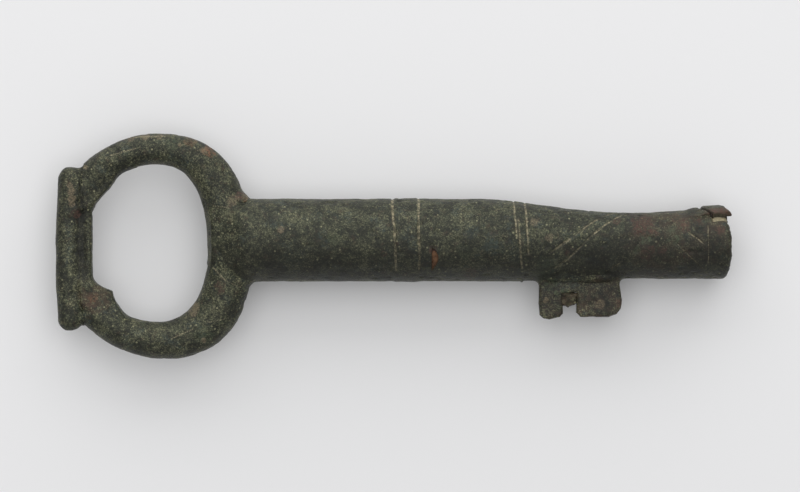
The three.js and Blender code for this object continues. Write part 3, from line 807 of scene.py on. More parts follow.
GREEN_MARKS = (
    (19.2, -5.5, 0.35, 0.8),
    (19.9, -5.35, 0.3, 0.8),
    (20.5, -5.3, 0.25, 0.8),
    (18.6, -4.4, 0.8, 0.5),
    (17.0, -3.6, 0.9, 0.5),
    (29.6, 0.9, 0.7, 0.9),
    (28.6, -0.4, 0.55, 0.8),
    (32.9, 1.2, 1.0, 0.7),
    (17.9, -2.5, 1.4, 0.6),
    (8.3, -0.7, 1.0, 0.5),
    (-7.0, 0.9, 0.9, 0.5),
    (-26.1, 11.9, 0.8, 0.6),
    (-22.3, -10.4, 1.2, 0.4),
    (26.5, 2.3, 0.8, 0.4),
)
TEAL_MARKS = (
    (11.4, 0.0, 1.0, 0.8),
    (9.2, 1.6, 0.9, 0.5),
    (20.5, -4.4, 1.4, 0.5),
    (-12.0, -1.5, 1.6, 0.4),
    (14.2, -1.0, 0.9, 0.5),
)
EARTH_MARKS = (
    (-22.4, 11.3, 0.5, 0.9),
    (-25.2, 11.9, 0.3, 0.7),
    (-36.3, 9.3, 0.3, 0.9),
    (-18.9, 5.3, 0.8, 0.6),
    (-17.5, 5.7, 0.5, 0.6),
    (-38.1, 7.1, 0.4, 0.9),
    (-38.0, 6.4, 0.5, 1.0),
    (-37.9, 5.6, 0.5, 1.0),
    (-37.9, 4.9, 0.4, 0.8),
    (-31.0, 12.7, 0.5, 0.7),
    (-29.3, 12.9, 0.5, 0.8),
    (-27.6, 12.9, 0.45, 0.7),
    (-23.3, -7.2, 0.6, 0.7),
    (-23.6, -7.9, 0.55, 0.7),
    (-13.2, 1.9, 0.45, 0.8),
    (16.5, 2.8, 0.5, 0.7),
    (18.3, 1.0, 0.5, 0.6),
    (18.0, -6.4, 0.35, 0.8),
    (24.3, -6.9, 0.6, 0.5),
    (-22.4, -11.1, 0.35, 0.8),
)
# Painted glints: places where pale glint dots are added, on the barrel's end and the ring beside it, along
# the ring's top, on the bit and on the bar.
GLINT_MARKS = (
    (-20.3, 2.4, 1.8, 1.0),
    (-18.8, 1.2, 1.4, 0.8),
    (-19.6, -0.6, 1.2, 0.8),
    (-36.6, 8.3, 0.8, 0.5),
    (-31.4, 12.55, 0.5, 0.8),
    (-30.0, 12.85, 0.5, 0.8),
    (-28.6, 12.95, 0.5, 0.8),
    (-27.3, 12.95, 0.45, 0.7),
    (24.8, -5.6, 1.5, 0.6),
    (23.4, -7.4, 1.2, 0.7),
    (18.3, -6.4, 1.3, 0.6),
    (-22.2, 6.6, 1.6, 0.5),
    (-21.6, -9.4, 1.6, 0.4),
    (-21.6, 3.2, 0.5, 0.45),
    (-21.5, 1.4, 0.5, 0.4),
    (-21.4, -0.6, 0.5, 0.4),
    (-34.2, 10.8, 1.4, 0.5),
    (-31.5, 11.4, 1.2, 0.5),
)
BROWN_MARKS = (
    (24.0, -6.6, 3.0, 0.9),
    (18.6, -6.8, 1.8, 0.6),
    (31.5, 1.0, 4.6, 0.75),
    (36.5, 1.5, 3.4, 0.7),
    (-35.4, -6.2, 2.0, 0.9),
)
# Painted shade: darker places on the sides of the ring, on the barrel beside the bit and towards the mouth,
# and on the bit under the barrel.
SHADE_MARKS = (
    (-33.0, -11.2, 1.3, 0.45),
    (-30.2, -12.4, 1.3, 0.5),
    (-27.2, -12.6, 1.3, 0.5),
    (-24.0, -11.7, 1.3, 0.45),
    (-21.2, -9.6, 1.3, 0.3),
    (-34.4, 7.4, 1.3, 0.5),
    (-32.2, 9.1, 1.2, 0.5),
    (-29.4, 10.2, 1.1, 0.45),
    (-23.6, 7.0, 0.8, 0.3),
    (20.0, -5.85, 0.35, 0.8),
    (24.8, -1.2, 2.0, 0.35),
    (26.6, -2.2, 1.8, 0.35),
    (23.6, -2.6, 1.6, 0.4),
    (35.6, -2.6, 1.8, 0.35),
    (22.0, -4.0, 1.5, 0.5),
    (18.9, -5.0, 1.6, 0.6),
    (22.5, -5.0, 1.7, 0.6),
    (25.5, -5.2, 1.4, 0.5),
    (25.0, -4.1, 1.5, 0.5),
    (19.0, -4.0, 1.1, 0.4),
    (24.6, -6.4, 2.8, 0.58),
    (18.4, -6.4, 2.1, 0.6),
    (27.6, 1.2, 3.4, 0.5),
    (31.6, 0.4, 3.4, 0.4),
    (36.4, 0.2, 3.4, 0.5),
    (-19.0, -7.6, 1.4, 0.35),
    (-14.0, -2.6, 1.6, 0.4),
    (-10.0, -2.9, 1.6, 0.35),
)
# Long dark bands across the key: painted shade in the bar's valley and along the seam between ring and
# barrel, and a darker tone on the bar's outer side.
SHADE_AND_DARK_BANDS = (
    (-39.2, 3.6, 1.1, 0.35),
    (-39.2, -3.2, 1.1, 0.35),
    (-36.85, 3.0, 0.9, 0.75),
    (-36.85, 0.2, 1.0, 0.8),
    (-36.75, -2.2, 0.9, 0.75),
    (-21.15, 3.6, 0.3, 0.45),
    (-21.15, 1.4, 0.3, 0.5),
    (-21.2, -1.6, 0.3, 0.4),
)
BAND_STRETCH = 4.5
# The nick's face, where bare metal shows.
NICK_FACE = ((4.72, -1.7, 1.1, 1.0), (4.6, -2.4, 0.8, 1.0))
# Marks are flattened balls: the share of a height that counts, and the shares of their radius between which
# they fade out.
MARK_FLATTEN = 0.22
MARK_OUTER, MARK_INNER = 1.15, 0.7
SCRATCH_OUTER, SCRATCH_INNER = 1.2, 0.4
# Patches of other tones: size of the noise in millimetres, its detail, roughness and offset, the values of
# the noise between which a patch begins, and its strength.
PATCHES = {
    "teal": (1.9, 4.0, 0.65, 0.02, 0.53, 0.64, 0.45),
    "brown": (0.9, 5.0, 0.7, 0.08, 0.52, 0.66, 0.6),
    "green": (0.7, 5.0, 0.75, 0.09, 0.56, 0.66, 0.45),
}
# Heights over the barrel's axis at which the marks on the barrel, the bow, the bit and the crust lie.
BARREL_TOP, BOW_TOP, BIT_TOP, CRUST_TOP = 4.2 * MM, 1.2 * MM, 1.3 * MM, 0.9 * MM
BUMP_HEIGHT = 0.12 * MM
SPECULAR = 0.36
# Pale scratches on the bow: both ends along X and Y in millimetres, half width, strength.
BOW_SCRATCHES = (
    ((-21.4, -2.35), (-19.8, -4.05), 0.1, 0.8),
    ((-19.8, -4.05), (-18.0, -4.9), 0.07, 0.5),
    ((-26.1, -10.9), (-23.6, -9.8), 0.09, 0.7),
    # A pale line along the ring's top edge: cream earth and a painted highlight.
    ((-30.5, 12.85), (-26.9, 12.95), 0.13, 0.7),
    ((-33.4, 10.65), (-30.3, 11.5), 0.1, 0.7),
    ((-21.2, 4.75), (-19.2, 4.5), 0.08, 0.5),
    ((-21.8, -9.0), (-19.9, -8.6), 0.07, 0.5),
)


class Patina(Finish):
    """Dark corroded bronze: layered green-grey, pale speckle, oxides, salts and earth, with painted shade and
    painted glints.
    """

    def __init__(self, name, mark_height):
        super().__init__(bpy.data.materials.new(name))
        self.mark_height = (AXIS.z + mark_height) * MARK_FLATTEN
        self.tones = settings().patina
        self.ragged = (self.noise(0.8 * MM, 6.0, 0.75) - 0.5) * 1.9
        self.grain = self.noise(0.3 * MM, 5.0, 0.75)
        self.dust = self.noise(0.15 * MM, 3.0, 0.75, offset=0.05)
        self.clouds = self.noise(2.4 * MM, 5.0, 0.65)
        self.mottle = self.step(self.noise(0.38 * MM, 4.0, 0.75, offset=0.03), 0.42, 0.57)

    def marked(self, marks, ragged=1.0, stretch=1.0):
        """The strongest of these marks at each place, with ragged edges, stretched along Y."""
        flat = self.vector("MULTIPLY", self.place(), (1, 1 / stretch, MARK_FLATTEN))
        spots = []
        for x, y, radius, strength in marks:
            away = self.vector("DISTANCE", flat, (x * MM, y * MM / stretch, self.mark_height), "Value")
            share = away / (radius * MM) + self.ragged * ragged
            spots.append(self.step(share, MARK_OUTER, MARK_INNER * ragged) * strength)
        return reduce(Socket.largest, spots)

    def scratched(self, scratches):
        """The strongest of these scratches at each place, seen from above, with broken edges."""
        flat = self.vector("MULTIPLY", self.place(), (1, 1, 0))
        lines = []
        for start, end, width, strength in scratches:
            first = Vector((*start, 0)) * MM
            way = Vector((*end, 0)) * MM - first
            off = self.vector("SUBTRACT", flat, first)
            along = self.vector("DOT_PRODUCT", off, way / way.length_squared, "Value").clamped()
            away = self.vector("DISTANCE", off, self.vector("MULTIPLY", way, along), "Value")
            share = away / (width * MM) + self.ragged
            lines.append(self.step(share, SCRATCH_OUTER, SCRATCH_INNER) * strength)
        return reduce(Socket.largest, lines)

    def tinted(self, base, *layers):
        """The base colour under layers of other tones."""
        for tone, amount in layers:
            base = self.mix(base, solid_colour(getattr(self.tones, tone)), amount)
        return base

    def bronze(self, pitted):
        """The patina's colour away from marks, and how pale it is from pale speckle and painted glints."""
        cover = (self.clouds - 0.5) * 0.42
        middle = (self.noise(0.9 * MM, 3.0, 0.6, offset=0.12) - 0.5) * 0.4
        depth = self.grain * 0.5 + self.dust * 0.5 + cover + middle
        base = self.tinted(solid_colour(self.tones.dark), ("middle", self.step(depth, 0.41, 0.58)))
        for tone, (size, detail, roughness, offset, low, high, strength) in PATCHES.items():
            patch = self.step(self.noise(size * MM, detail, roughness, offset), low, high)
            base = self.tinted(base, (tone, patch * self.mottle * strength))
        fine = self.dust * 0.6 + self.grain * 0.4
        base = self.tinted(base, ("pit_and_shade", self.step(fine, 0.45 + pitted, 0.37 + pitted) * 0.95))
        pale = self.step(fine + cover * 0.5 + middle * 0.4, 0.54 - pitted * 0.4, 0.63 - pitted * 0.4)
        specks = self.step(self.cells(0.34 * MM), 0.2, 0.08) * self.step(self.clouds, 0.4, 0.56)
        # Painted glints: sparse larger pale dots.
        glints = self.step(self.cells(0.95 * MM) + self.ragged * 0.06, 0.15, 0.09) * 0.8
        return base, (pale * 0.6).largest(specks * 0.75).largest(glints)

    def finished(self, relief=1.0, brownness=0.0, earthy=0.0, pitted=0.0, lined=False, banded=False):
        """The material: patina with its marks, more or less rough, brown, earthy and pitted.

        Only the barrel is lined, with incised lines, a nick and a torn mouth, and only the bow is banded.
        """
        base, pale = self.bronze(pitted)
        patchy = self.step(self.noise(0.8 * MM, 5.0, 0.7, offset=0.07), 0.38, 0.58)
        brown = self.marked(BROWN_MARKS).largest(brownness) * patchy
        # Painted shade: darker places, and on the bow darker bands, mixed in with the pit colour.
        shading = self.marked(SHADE_MARKS, 0.5)
        if banded:
            shading = shading.largest(self.marked(SHADE_AND_DARK_BANDS, 0.25, BAND_STRETCH))
        base = self.tinted(base, ("brown", brown * 0.85), ("pit_and_shade", shading))
        # Painted glints: pale dots inside the glint marks.
        glint_dots = self.step(self.cells(0.3 * MM), 0.28, 0.12) * self.step(self.dust, 0.38, 0.52)
        pale = pale.largest(self.marked(GLINT_MARKS) * glint_dots)
        # Pale speckle and painted glints fade where shade is painted.
        base = self.tinted(base, ("pale", pale * (1.0 - shading * 0.9)))
        uneven = (0.1 + self.mottle * 0.9) * (0.45 + self.step(self.dust, 0.42, 0.55) * 0.5)
        red = self.marked(RED_MARKS) * uneven
        earth = self.marked(EARTH_MARKS) * (0.2 + self.step(self.dust, 0.42, 0.56) * 0.6)
        base = self.tinted(
            base,
            ("teal", self.marked(TEAL_MARKS) * uneven * 0.8),
            ("green", self.marked(GREEN_MARKS) * uneven),
            ("cuprite", red),
            ("rust", self.marked(RUST_MARKS) * uneven),
            ("earth", earth),
        )
        if banded:
            worn = 0.1 + self.step(self.dust, 0.44, 0.58) * 0.6
            base = self.tinted(base, ("cream", self.scratched(BOW_SCRATCHES) * worn))
        if lined:
            broken = self.step(self.noise(0.4 * MM, 4.0, 0.75, offset=0.06), 0.45, 0.58)
            line = self.step(self.attribute("groove"), 0.1, 0.6) * (0.12 + broken * 0.62)
            bright = self.step(self.marked(NICK_FACE), 0.2, 0.6) * (0.45 + self.mottle * 0.4)
            nick, torn = self.attribute("nick"), self.attribute("torn")
            base = self.tinted(
                base,
                ("cream", line),
                ("cuprite", nick * 0.9),
                ("copper", nick * bright),
                ("brown", torn * 0.85),
                ("cuprite", torn * self.mottle * 0.7),
                ("cream", self.attribute("soil") * (0.5 + broken * 0.35)),
                # Painted shade along the crack and on the barrel's lower side.
                ("pit_and_shade", self.attribute("cleft")),
            )
        if earthy:
            soil = self.step(self.noise(0.6 * MM, 5.0, 0.75, offset=0.04), 0.6 - 0.35 * earthy, 0.7)
            base = self.tinted(base, ("earth", soil * earthy))
        metal = (0.16 - pale * 0.12 - red * 0.1 - earth * 0.16).clamped()
        pits = self.step(self.cells(0.45 * MM), 0.04, 0.3)
        height = {
            "Strength": 0.9 * relief,
            "Distance": BUMP_HEIGHT,
            "Height": self.grain * 0.5 + self.dust * 0.35 + pits * 0.15,
        }
        values = {
            "Base Color": base,
            "Roughness": (0.4 + self.grain * 0.2 + pale * 0.15 + red * 0.1 + earth * 0.25).clamped(),
            "Metallic": metal,
            "Specular IOR Level": SPECULAR,
            "Normal": self.node("ShaderNodeBump", None, height, "Normal"),
        }
        return self.shows(self.node("ShaderNodeBsdfPrincipled", None, values, "BSDF"))


# Incised ring lines: distance from the mouth, lean, start and end in degrees up from the front, and width.
RING_LINES = (
    (39.8, 0.3, -46, 250, 0.38),
    (36.95, 0.1, -46, 250, 0.36),
    (25.45, 0.3, 4, 200, 0.26),
    (25.1, 0.3, -46, 34, 0.28),
    (24.15, 0.3, -20, 190, 0.24),
    (2.95, 0.0, -38, 27, 0.17),
)
# Chevron strokes: place and angle of both ends, in millimetres from the mouth and degrees, and width.
STROKES = (
    ((22.0, -23), (18.86, 5), 0.24),
    ((18.86, 5), (15.55, 53), 0.22),
    ((15.55, 53), (12.5, 96), 0.2),
    ((21.1, -48), (17.68, -7), 0.24),
    ((17.68, -7), (14.07, 48), 0.26),
    ((14.07, 48), (11.0, 92), 0.2),
    ((14.5, -50), (13.25, -36), 0.15),
    ((5.5, 17), (3.5, -6), 0.17),
    ((7.2, 2), (3.66, -44), 0.13),
    ((0.84, -18), (0.84, -27), 0.16),
    ((12.4, 100), (6.4, 172), 0.24),
    ((10.8, 100), (4.9, 160), 0.24),
    ((14.6, 100), (20.4, 178), 0.24),
)
# How far incised lines wander, over what length, and the length over which their depth varies.
WANDER, WANDER_SIZE, UNEVEN_SIZE = 0.07 * MM, 1.6 * MM, 1.3 * MM
# Half spread of a line as a share of its width, and degrees over which a ring line fades out.
RING_LINE_SPREAD, STROKE_SPREAD, LINE_FADE = 0.7, 0.75, 6
STROKE_WANDER, STROKE_END = 0.6, 0.35
# How far the worn mouth is drawn back, in millimetres, at angles up from the side that faces up.
MOUTH_ANGLES = (-180, -130, -90, -60, -25, 0, 16, 30, 36, 51, 52, 54, 57, 64, 76, 90, 110, 150)
MOUTH_BACK = (0.05, 0.5, 0.7, 0.4, 0.19, 0.2, 0.3, 0.6, 0.8, 0.5, 0.25, 0.1, 0.15, 0.5, 0.85, 1.0, 1.2, 0.4)
RIM_DROP = 0.42 * MM
# The crack's depth and half width, and the half width of the painted shadow along it.
CRACK_DEPTH, CRACK_HALF, SHADOW_HALF = 0.5 * MM, 0.26 * MM, 0.42 * MM
# Rows of points along the barrel, in millimetres: their spacing changes at a share of the end ramp, at these
# distances from the mouth and at the rim, and is closer at the nick and at two ring lines.
RAMP_ROWS, ROW_CHANGES, ROW_STEPS = 1.2, (26.0, 10.5, 4.6), (0.22, 0.3, 0.115, 0.175, 0.11)
RIM_ROWS, CLOSE_HALF, LINE_ROWS, NICK_ROWS, NICK_MIDDLE = 8, 0.6, 0.09, 0.08, 35
# The fresh nick: distance of its straight edge from the mouth, top over the axis, length, width, soft edge.
NICK_FROM_MOUTH, NICK_TOP, NICK_LENGTH, NICK_WIDE, NICK_SOFT = np.array((35.42, -0.95, 2.6, 0.72, 0.05)) * MM
# Depths of the bore's rings behind the mouth and the step of those further in, in millimetres.
BORE_DEPTHS, BORE_FROM, BORE_STEP = (0, 0.05, 0.15, 0.35, 0.7, 1.0, 1.4, 1.9, 2.4, 3.0), 4, 1.4
# The bore's blind tip: how far each ring lies beyond the bore's depth, in millimetres, and its share of the
# bore's radius.
BORE_TIP = ((0, 1), (0.4, 0.93), (0.9, 0.72), (1.3, 0.4))
BORE_WEAR, BORE_WEAR_REACH = 0.35 * MM, 0.3 * MM


def grooves(x, turn, radius):
    """How fully each place on the skin lies in an incised line, from 0 to 1."""
    depth = np.zeros_like(x)
    y = turn * radius
    place = np.stack([x, y, np.zeros_like(x)], -1)
    wander = lumps(place, WANDER_SIZE, 31) * WANDER
    uneven = 0.82 + 0.3 * lumps(place, UNEVEN_SIZE, 32)
    degrees = np.degrees(turn)
    for from_mouth, lean, start, end, width in RING_LINES:
        off = x - (BARREL_LENGTH - from_mouth * MM) + lean * MM * np.sin(turn) + wander
        cut = bell(off, 0, width * MM * RING_LINE_SPREAD)
        for whole in (-360, 0, 360):
            begun = ease(start - LINE_FADE, start + LINE_FADE, degrees + whole)
            reach = begun * ease(end + LINE_FADE, end - LINE_FADE, degrees + whole)
            depth = np.maximum(depth, cut * reach * uneven)
    for (x0, a0), (x1, a1), width in STROKES:
        x0, x1 = BARREL_LENGTH - x0 * MM, BARREL_LENGTH - x1 * MM
        y0, y1 = math.radians(a0) * radius, math.radians(a1) * radius
        dx, dy = x1 - x0, y1 - y0
        along = np.clip(((x - x0) * dx + (y - y0) * dy) / (dx * dx + dy * dy), 0, 1)
        off = np.hypot(x - x0 - along * dx, y - y0 - along * dy) + wander * STROKE_WANDER
        fade = blend(STROKE_END, 1, ease(0, 0.2, along) * ease(1, 0.8, along))
        depth = np.maximum(depth, bell(off, 0, width * MM * STROKE_SPREAD) * fade * uneven)
    return np.clip(depth, 0, 1)


class KEY_OT_barrel(bpy.types.Operator):
    """Add the barrel: waisted tube with a blind bore, incised lines, a nick and a torn mouth"""

    bl_idname = "key.barrel"
    bl_label = "Barrel"

    def execute(self, context):
        sizes = settings().barrel
        tear_from, tear_to = math.degrees(sizes.tear_from), math.degrees(sizes.tear_to)
        degrees = self.columns(sizes, tear_to)
        turn = np.radians(degrees)
        rows = self.rows(sizes)
        tear = ease(tear_from - 2, tear_from + 3, degrees)
        opened = tear * ease(tear_to + 2.2, tear_to + 1.4, degrees)
        tear = tear * ease(tear_to + 0.6, tear_to - 0.6, degrees)
        strip_end = math.degrees(sizes.strip_to)
        strip = ease(tear_to - 0.6, tear_to + 0.6, degrees) * ease(strip_end + 8, strip_end - 10, degrees)
        mouth = self.mouth(sizes, degrees, opened)

        near = ease(BARREL_LENGTH - 6 * MM, BARREL_LENGTH, rows)[:, None]
        x = np.repeat(rows[:, None], len(turn), 1)
        x = blend(x, x * (mouth / BARREL_LENGTH)[None, :], near)
        theta = np.broadcast_to(turn, x.shape)
        above, below, beside = barrel_reach(sizes, x)
        height = np.where(np.sin(theta) > 0, above, below)
        centre = np.array([BARREL_LOW.x, AXIS.y, AXIS.z])
        skin = np.stack([x, height * np.sin(theta), beside * np.cos(theta)], -1) + centre
        skin = flowed("barrel", skin)

        filled = tear * ease(-sizes.tear - 0.1 * MM, -sizes.tear + 0.15 * MM, x - BARREL_LENGTH)
        out = self.strip_rise(sizes, x, degrees, strip) + self.band_rise(x, degrees)
        out = out - filled * sizes.tear_sink
        gap = np.clip(1 - (mouth[None, :] - x) / sizes.rim, 0, 1)
        out = out - RIM_DROP * (1 - np.sqrt(np.clip(1 - gap**2, 0, 1)))
        cut = grooves(x, theta, (height + beside) / 2)
        nick = self.nick(x, height * np.sin(theta))
        crack = self.crack(sizes, x, degrees, CRACK_HALF)
        # Painted shadow: a wider dark band along the crack and a dark line at the foot of the earth in the
        # tear.
        broad = self.crack(sizes, x, degrees, SHADOW_HALF)
        under = bell(degrees, tear_to - 0.3, 1.1)
        broad = np.maximum(broad, under * ease(-sizes.tear, 0.3 * MM - sizes.tear, x - BARREL_LENGTH))
        sunk = cut * sizes.line_depth + nick * sizes.nick_depth + crack * CRACK_DEPTH
        skin = skin + ring_normals(skin) * (out + weathering(skin) - sunk)[..., None]

        bore = self.bore_rings(sizes, turn, mouth, strip) + centre
        rings = inside_box(np.concatenate([skin, bore]), *CAD_BOX)
        hollow = np.zeros(bore.shape[:2])
        torn = strip * ease(-sizes.strip_length, -sizes.tear, x - BARREL_LENGTH) * ease(70, 56, degrees)
        soil = filled * ease(mouth, mouth - 0.35 * MM, x)
        # Painted shade: the colour is darker on the barrel's lower side.
        shade = ease(22, -34, degrees) * ease(-84, -64, degrees) * np.ones_like(x)
        inward = BARREL_LENGTH - (bore - centre)[..., 0]
        deep = ease(9 * MM, 1 * MM, inward) * ease(0.3 * MM, 1 * MM, inward)
        values = {
            "groove": np.concatenate([cut, hollow]),
            "nick": np.concatenate([nick, hollow]),
            "torn": np.concatenate([torn, hollow + strip[None, :] * 0.9]),
            # The painted shade of the crack and of the lower side goes in its own attribute.
            "cleft": np.concatenate([np.maximum(broad * 0.9, shade * 0.6), hollow]),
            "soil": np.concatenate([soil, deep * (1 - strip[None, :]) * 0.4]),
        }
        material = Patina("barrel_patina", BARREL_TOP).finished(lined=True)
        shell("key_barrel", rings, material, ("barrel",), values)
        return {"FINISHED"}

    def columns(self, sizes, tear_to):
        """Angles round the barrel, wider at the back and close together at the tear's edge."""
        step = 360 / sizes.around
        parts = (
            (-180, -100, 1.7),
            (-100, 30, 1),
            (30, tear_to - 2, 0.6),
            (tear_to - 2, tear_to + 3, 0.3),
            (tear_to + 3, tear_to + 12, 0.6),
            (tear_to + 12, 110, 1),
            (110, 180, 1.7),
        )
        return np.concatenate([np.arange(low, high - 0.3 * step, share * step) for low, high, share in parts])

    def rows(self, sizes):
        """Places along the barrel, close together at the incised lines, the nick and the torn mouth."""
        changes = [BARREL_LENGTH - distance * MM for distance in ROW_CHANGES]
        bounds = [0, sizes.ramp * RAMP_ROWS, *changes, BARREL_LENGTH - sizes.rim]
        places = [np.arange(low, high, step * MM) for low, high, step in zip(bounds, bounds[1:], ROW_STEPS)]
        places.append(BARREL_LENGTH - sizes.rim * np.cos(np.linspace(0, math.pi / 2, RIM_ROWS)))
        close = ((NICK_MIDDLE, NICK_ROWS), (RING_LINES[0][0], LINE_ROWS), (RING_LINES[1][0], LINE_ROWS))
        for middle, step in close:
            places.append(BARREL_LENGTH - middle * MM + np.arange(-CLOSE_HALF, CLOSE_HALF, step) * MM)
        return np.unique(np.round(np.concatenate(places), 8))

    def mouth(self, sizes, degrees, tear):
        """Where the mouth's edge lies along the barrel at each angle."""
        round_x, round_y = np.cos(np.radians(degrees)), np.sin(np.radians(degrees))
        ragged = lumps(np.stack([round_x, round_y, round_x * 0], -1), 0.12, 5) * 0.1 * MM
        worn = np.interp(degrees, MOUTH_ANGLES, MOUTH_BACK) * MM
        torn = sizes.tear_open + lumps(np.stack([round_x, round_y, round_x * 0], -1), 0.09, 6) * 0.15 * MM
        return BARREL_LENGTH - blend(worn + ragged * (1 - tear), torn, tear)

    def strip_rise(self, sizes, x, degrees, strip):
        """How far the strip beside the tear, and the flake behind it, stand out."""
        start = BARREL_LENGTH - sizes.strip_length
        step = 0.4 + 0.6 * ease(start, start + 0.5 * MM, x)
        lift = strip * sizes.strip_lift * step * ease(start - 2.2 * MM, start, x)
        flake = bell(x, start - 0.6 * MM, 1.4 * MM) * bell(degrees, 80, 24) * 0.16 * MM
        return lift * (1 - 0.55 * ease(BARREL_LENGTH - 0.9 * MM, BARREL_LENGTH, x)) + flake

    def crack(self, sizes, x, degrees, width):
        """1 along the crack that runs from the tear up to the strip's root."""
        start, end = BARREL_LENGTH - sizes.strip_length, BARREL_LENGTH - sizes.tear
        tear_to = math.degrees(sizes.tear_to)
        along = np.clip((degrees - tear_to) / 26, 0, 1)
        off = x - blend(end, start, along)
        reach = ease(tear_to - 4, tear_to, degrees) * ease(104, 96, degrees)
        return bell(off, 0, width) * reach * (0.3 + 0.7 * ease(88, 70, degrees))

    def band_rise(self, x, degrees):
        """The slightly raised band between two ring lines, and the burr under the ring line near the bit."""
        band = 0.07 * MM * ease(0, 1, bell(x, BARREL_LENGTH - 38.4 * MM, 1.9 * MM) * 3)
        return band + 0.16 * MM * bell(x, 36.5 * MM, 0.25 * MM) * bell(degrees, -88, 16)

    def nick(self, x, y):
        """1 in the fresh half-moon nick beside the ring lines."""
        along = (NICK_TOP - y) / NICK_LENGTH
        reach = NICK_WIDE * np.sin(math.pi * np.clip(along, 0, 1) ** 0.9)
        off = x - (BARREL_LENGTH - NICK_FROM_MOUTH)
        inside = ease(-NICK_SOFT, NICK_SOFT, off) * ease(NICK_SOFT, -NICK_SOFT, off - reach)
        return inside * (along > 0) * (along < 1)

    def bore_rings(self, sizes, turn, mouth, strip):
        """Rings from the rim down the bore to its blind tip, measured from the barrel's closed end."""
        depths = np.concatenate([BORE_DEPTHS, np.arange(BORE_FROM, sizes.bore_depth / MM, BORE_STEP)]) * MM
        tear_to = math.degrees(sizes.tear_to)
        thin = ease(tear_to + 0.4, tear_to + 1.4, np.degrees(turn)) * strip
        places, radii = [], []
        for depth in depths:
            straight = ease(1.5 * MM, 5 * MM, depth)
            places.append(blend(mouth, BARREL_LENGTH, straight) - depth)
            worn = BORE_WEAR * math.exp(-depth / BORE_WEAR_REACH)
            wider = thin * sizes.strip_bore * ease(3 * MM, 1 * MM, depth)
            radii.append(sizes.bore + worn * (1 - thin) + wider)
        blind = BARREL_LENGTH - sizes.bore_depth
        for sink, part in BORE_TIP:
            places.append(np.full_like(turn, blind - sink * MM))
            radii.append(np.full_like(turn, sizes.bore * part))
        radius = np.array(radii)
        return np.stack([places, radius * np.sin(turn) - sizes.bore_drop, radius * np.cos(turn)], -1)


RING_STEPS, RING_SIDES = 420, 128
BAR_VOXEL, SEAM_VOXEL, BIT_VOXEL, CRUST_VOXEL = 0.1 * MM, 0.09 * MM, 0.075 * MM, 0.07 * MM
CRUST_ROUGHNESS = 6


class KEY_OT_bow(bpy.types.Operator):
    """Add the bow: a ring sunk in the barrel's end, its cross bar and the seam metal in the corners"""

    bl_idname = "key.bow"
    bl_label = "Bow"

    def execute(self, context):
        sizes = settings().bow
        bronze = Patina("bow_patina", BOW_TOP).finished(pitted=0.02, banded=True)
        self.ring(sizes, bronze)
        self.bar(sizes, bronze)
        self.webs(sizes)
        return {"FINISHED"}

    def ring(self, sizes, bronze):
        turn = np.linspace(-sizes.ring_end, sizes.ring_end, RING_STEPS)[:, None]
        around = np.linspace(0, 2 * math.pi, RING_SIDES, endpoint=False)[None, :]
        middle, half, thick = ring_section(sizes, turn)
        c, s = np.cos(around), np.sin(around)
        power = 2 / sizes.section
        r = middle + half * np.sign(c) * np.abs(c) ** power
        z = thick * np.sign(s) * np.abs(s) ** power
        points = np.stack([r * np.cos(turn), r * np.sin(turn), z], -1) + bow_centre()
        points[..., 0] = np.maximum(points[..., 0], bow_centre()[0] - ring_stop(sizes))
        points = flowed("bow_ring", points)
        points = points + ring_normals(points) * weathering(points)[..., None]
        points = inside_box(points, *CAD_BOX)
        shell("key_bow_ring", points, bronze, ("bow_ring",))

    def bar(self, sizes, bronze):
        centre = bow_centre()
        prisms = []
        for low, high, _ in bar_blocks(sizes):
            low, high = centre + low, centre + high
            prisms.append(prism(rectangle(low, high), low[2], high[2]))
        piece = cast("bow_bar", prisms, bar_distance, BAR_VOXEL)
        dressed(piece, bronze, ("bow_bar",))

    def webs(self, sizes):
        bronze = Patina("seam_patina", BOW_TOP).finished(brownness=0.15, pitted=0.02)
        half = sizes.web_thick / 2
        for name in WEBS:
            block = prism(web_outline(name), AXIS.z - half, AXIS.z + half)
            dressed(cast(name, [block], forms()[name][0], SEAM_VOXEL), bronze, (name,))


class KEY_OT_bit(bpy.types.Operator):
    """Add the bit: a plate with two teeth and one slot, and crust in the slot"""

    bl_idname = "key.bit"
    bl_label = "Bit"

    def execute(self, context):
        sizes = settings().bit
        plate = prism(bit_outline(sizes), BIT_LOW.z + BIT_SKIN, BIT_HIGH.z - BIT_SKIN)
        piece = cast("bit", [plate], forms()["bit"][0], BIT_VOXEL)
        bronze = Patina("bit_patina", BIT_TOP).finished(brownness=0.5, pitted=0.045)
        dressed(piece, bronze, ("bit",))
        outline = self.crust_outline(sizes)
        block = prism(outline, AXIS.z - CRUST_HALF, AXIS.z + CRUST_HALF)
        form = partial(plate_distance, outline=outline, half_thick=CRUST_HALF, rounding=CRUST_EDGE)
        crust = cast("slot_crust", [block], form, CRUST_VOXEL, CRUST_ROUGHNESS)
        finish = Patina("crust_patina", CRUST_TOP).finished(relief=3, brownness=1.0, earthy=0.5)
        dressed(crust, finish, ("slot_crust",))
        return {"FINISHED"}

    def crust_outline(self, sizes):
        slot_a = BIT_LOW.x + sizes.slot_start
        slot_b = slot_a + sizes.slot_width
        top = AXIS.y - sizes.slot_top - 0.12 * MM
        return [
            (slot_a - 0.1 * MM, top + 0.1 * MM),
            (slot_a - 0.1 * MM, top - sizes.crust * 0.7),
            (slot_a + sizes.slot_width * 0.4, top - sizes.crust),
            (slot_b - sizes.slot_width * 0.25, top - sizes.crust * 0.9),
            (slot_b + 0.1 * MM, top - sizes.crust * 0.75),
            (slot_b + 0.1 * MM, top + 0.1 * MM),
        ]


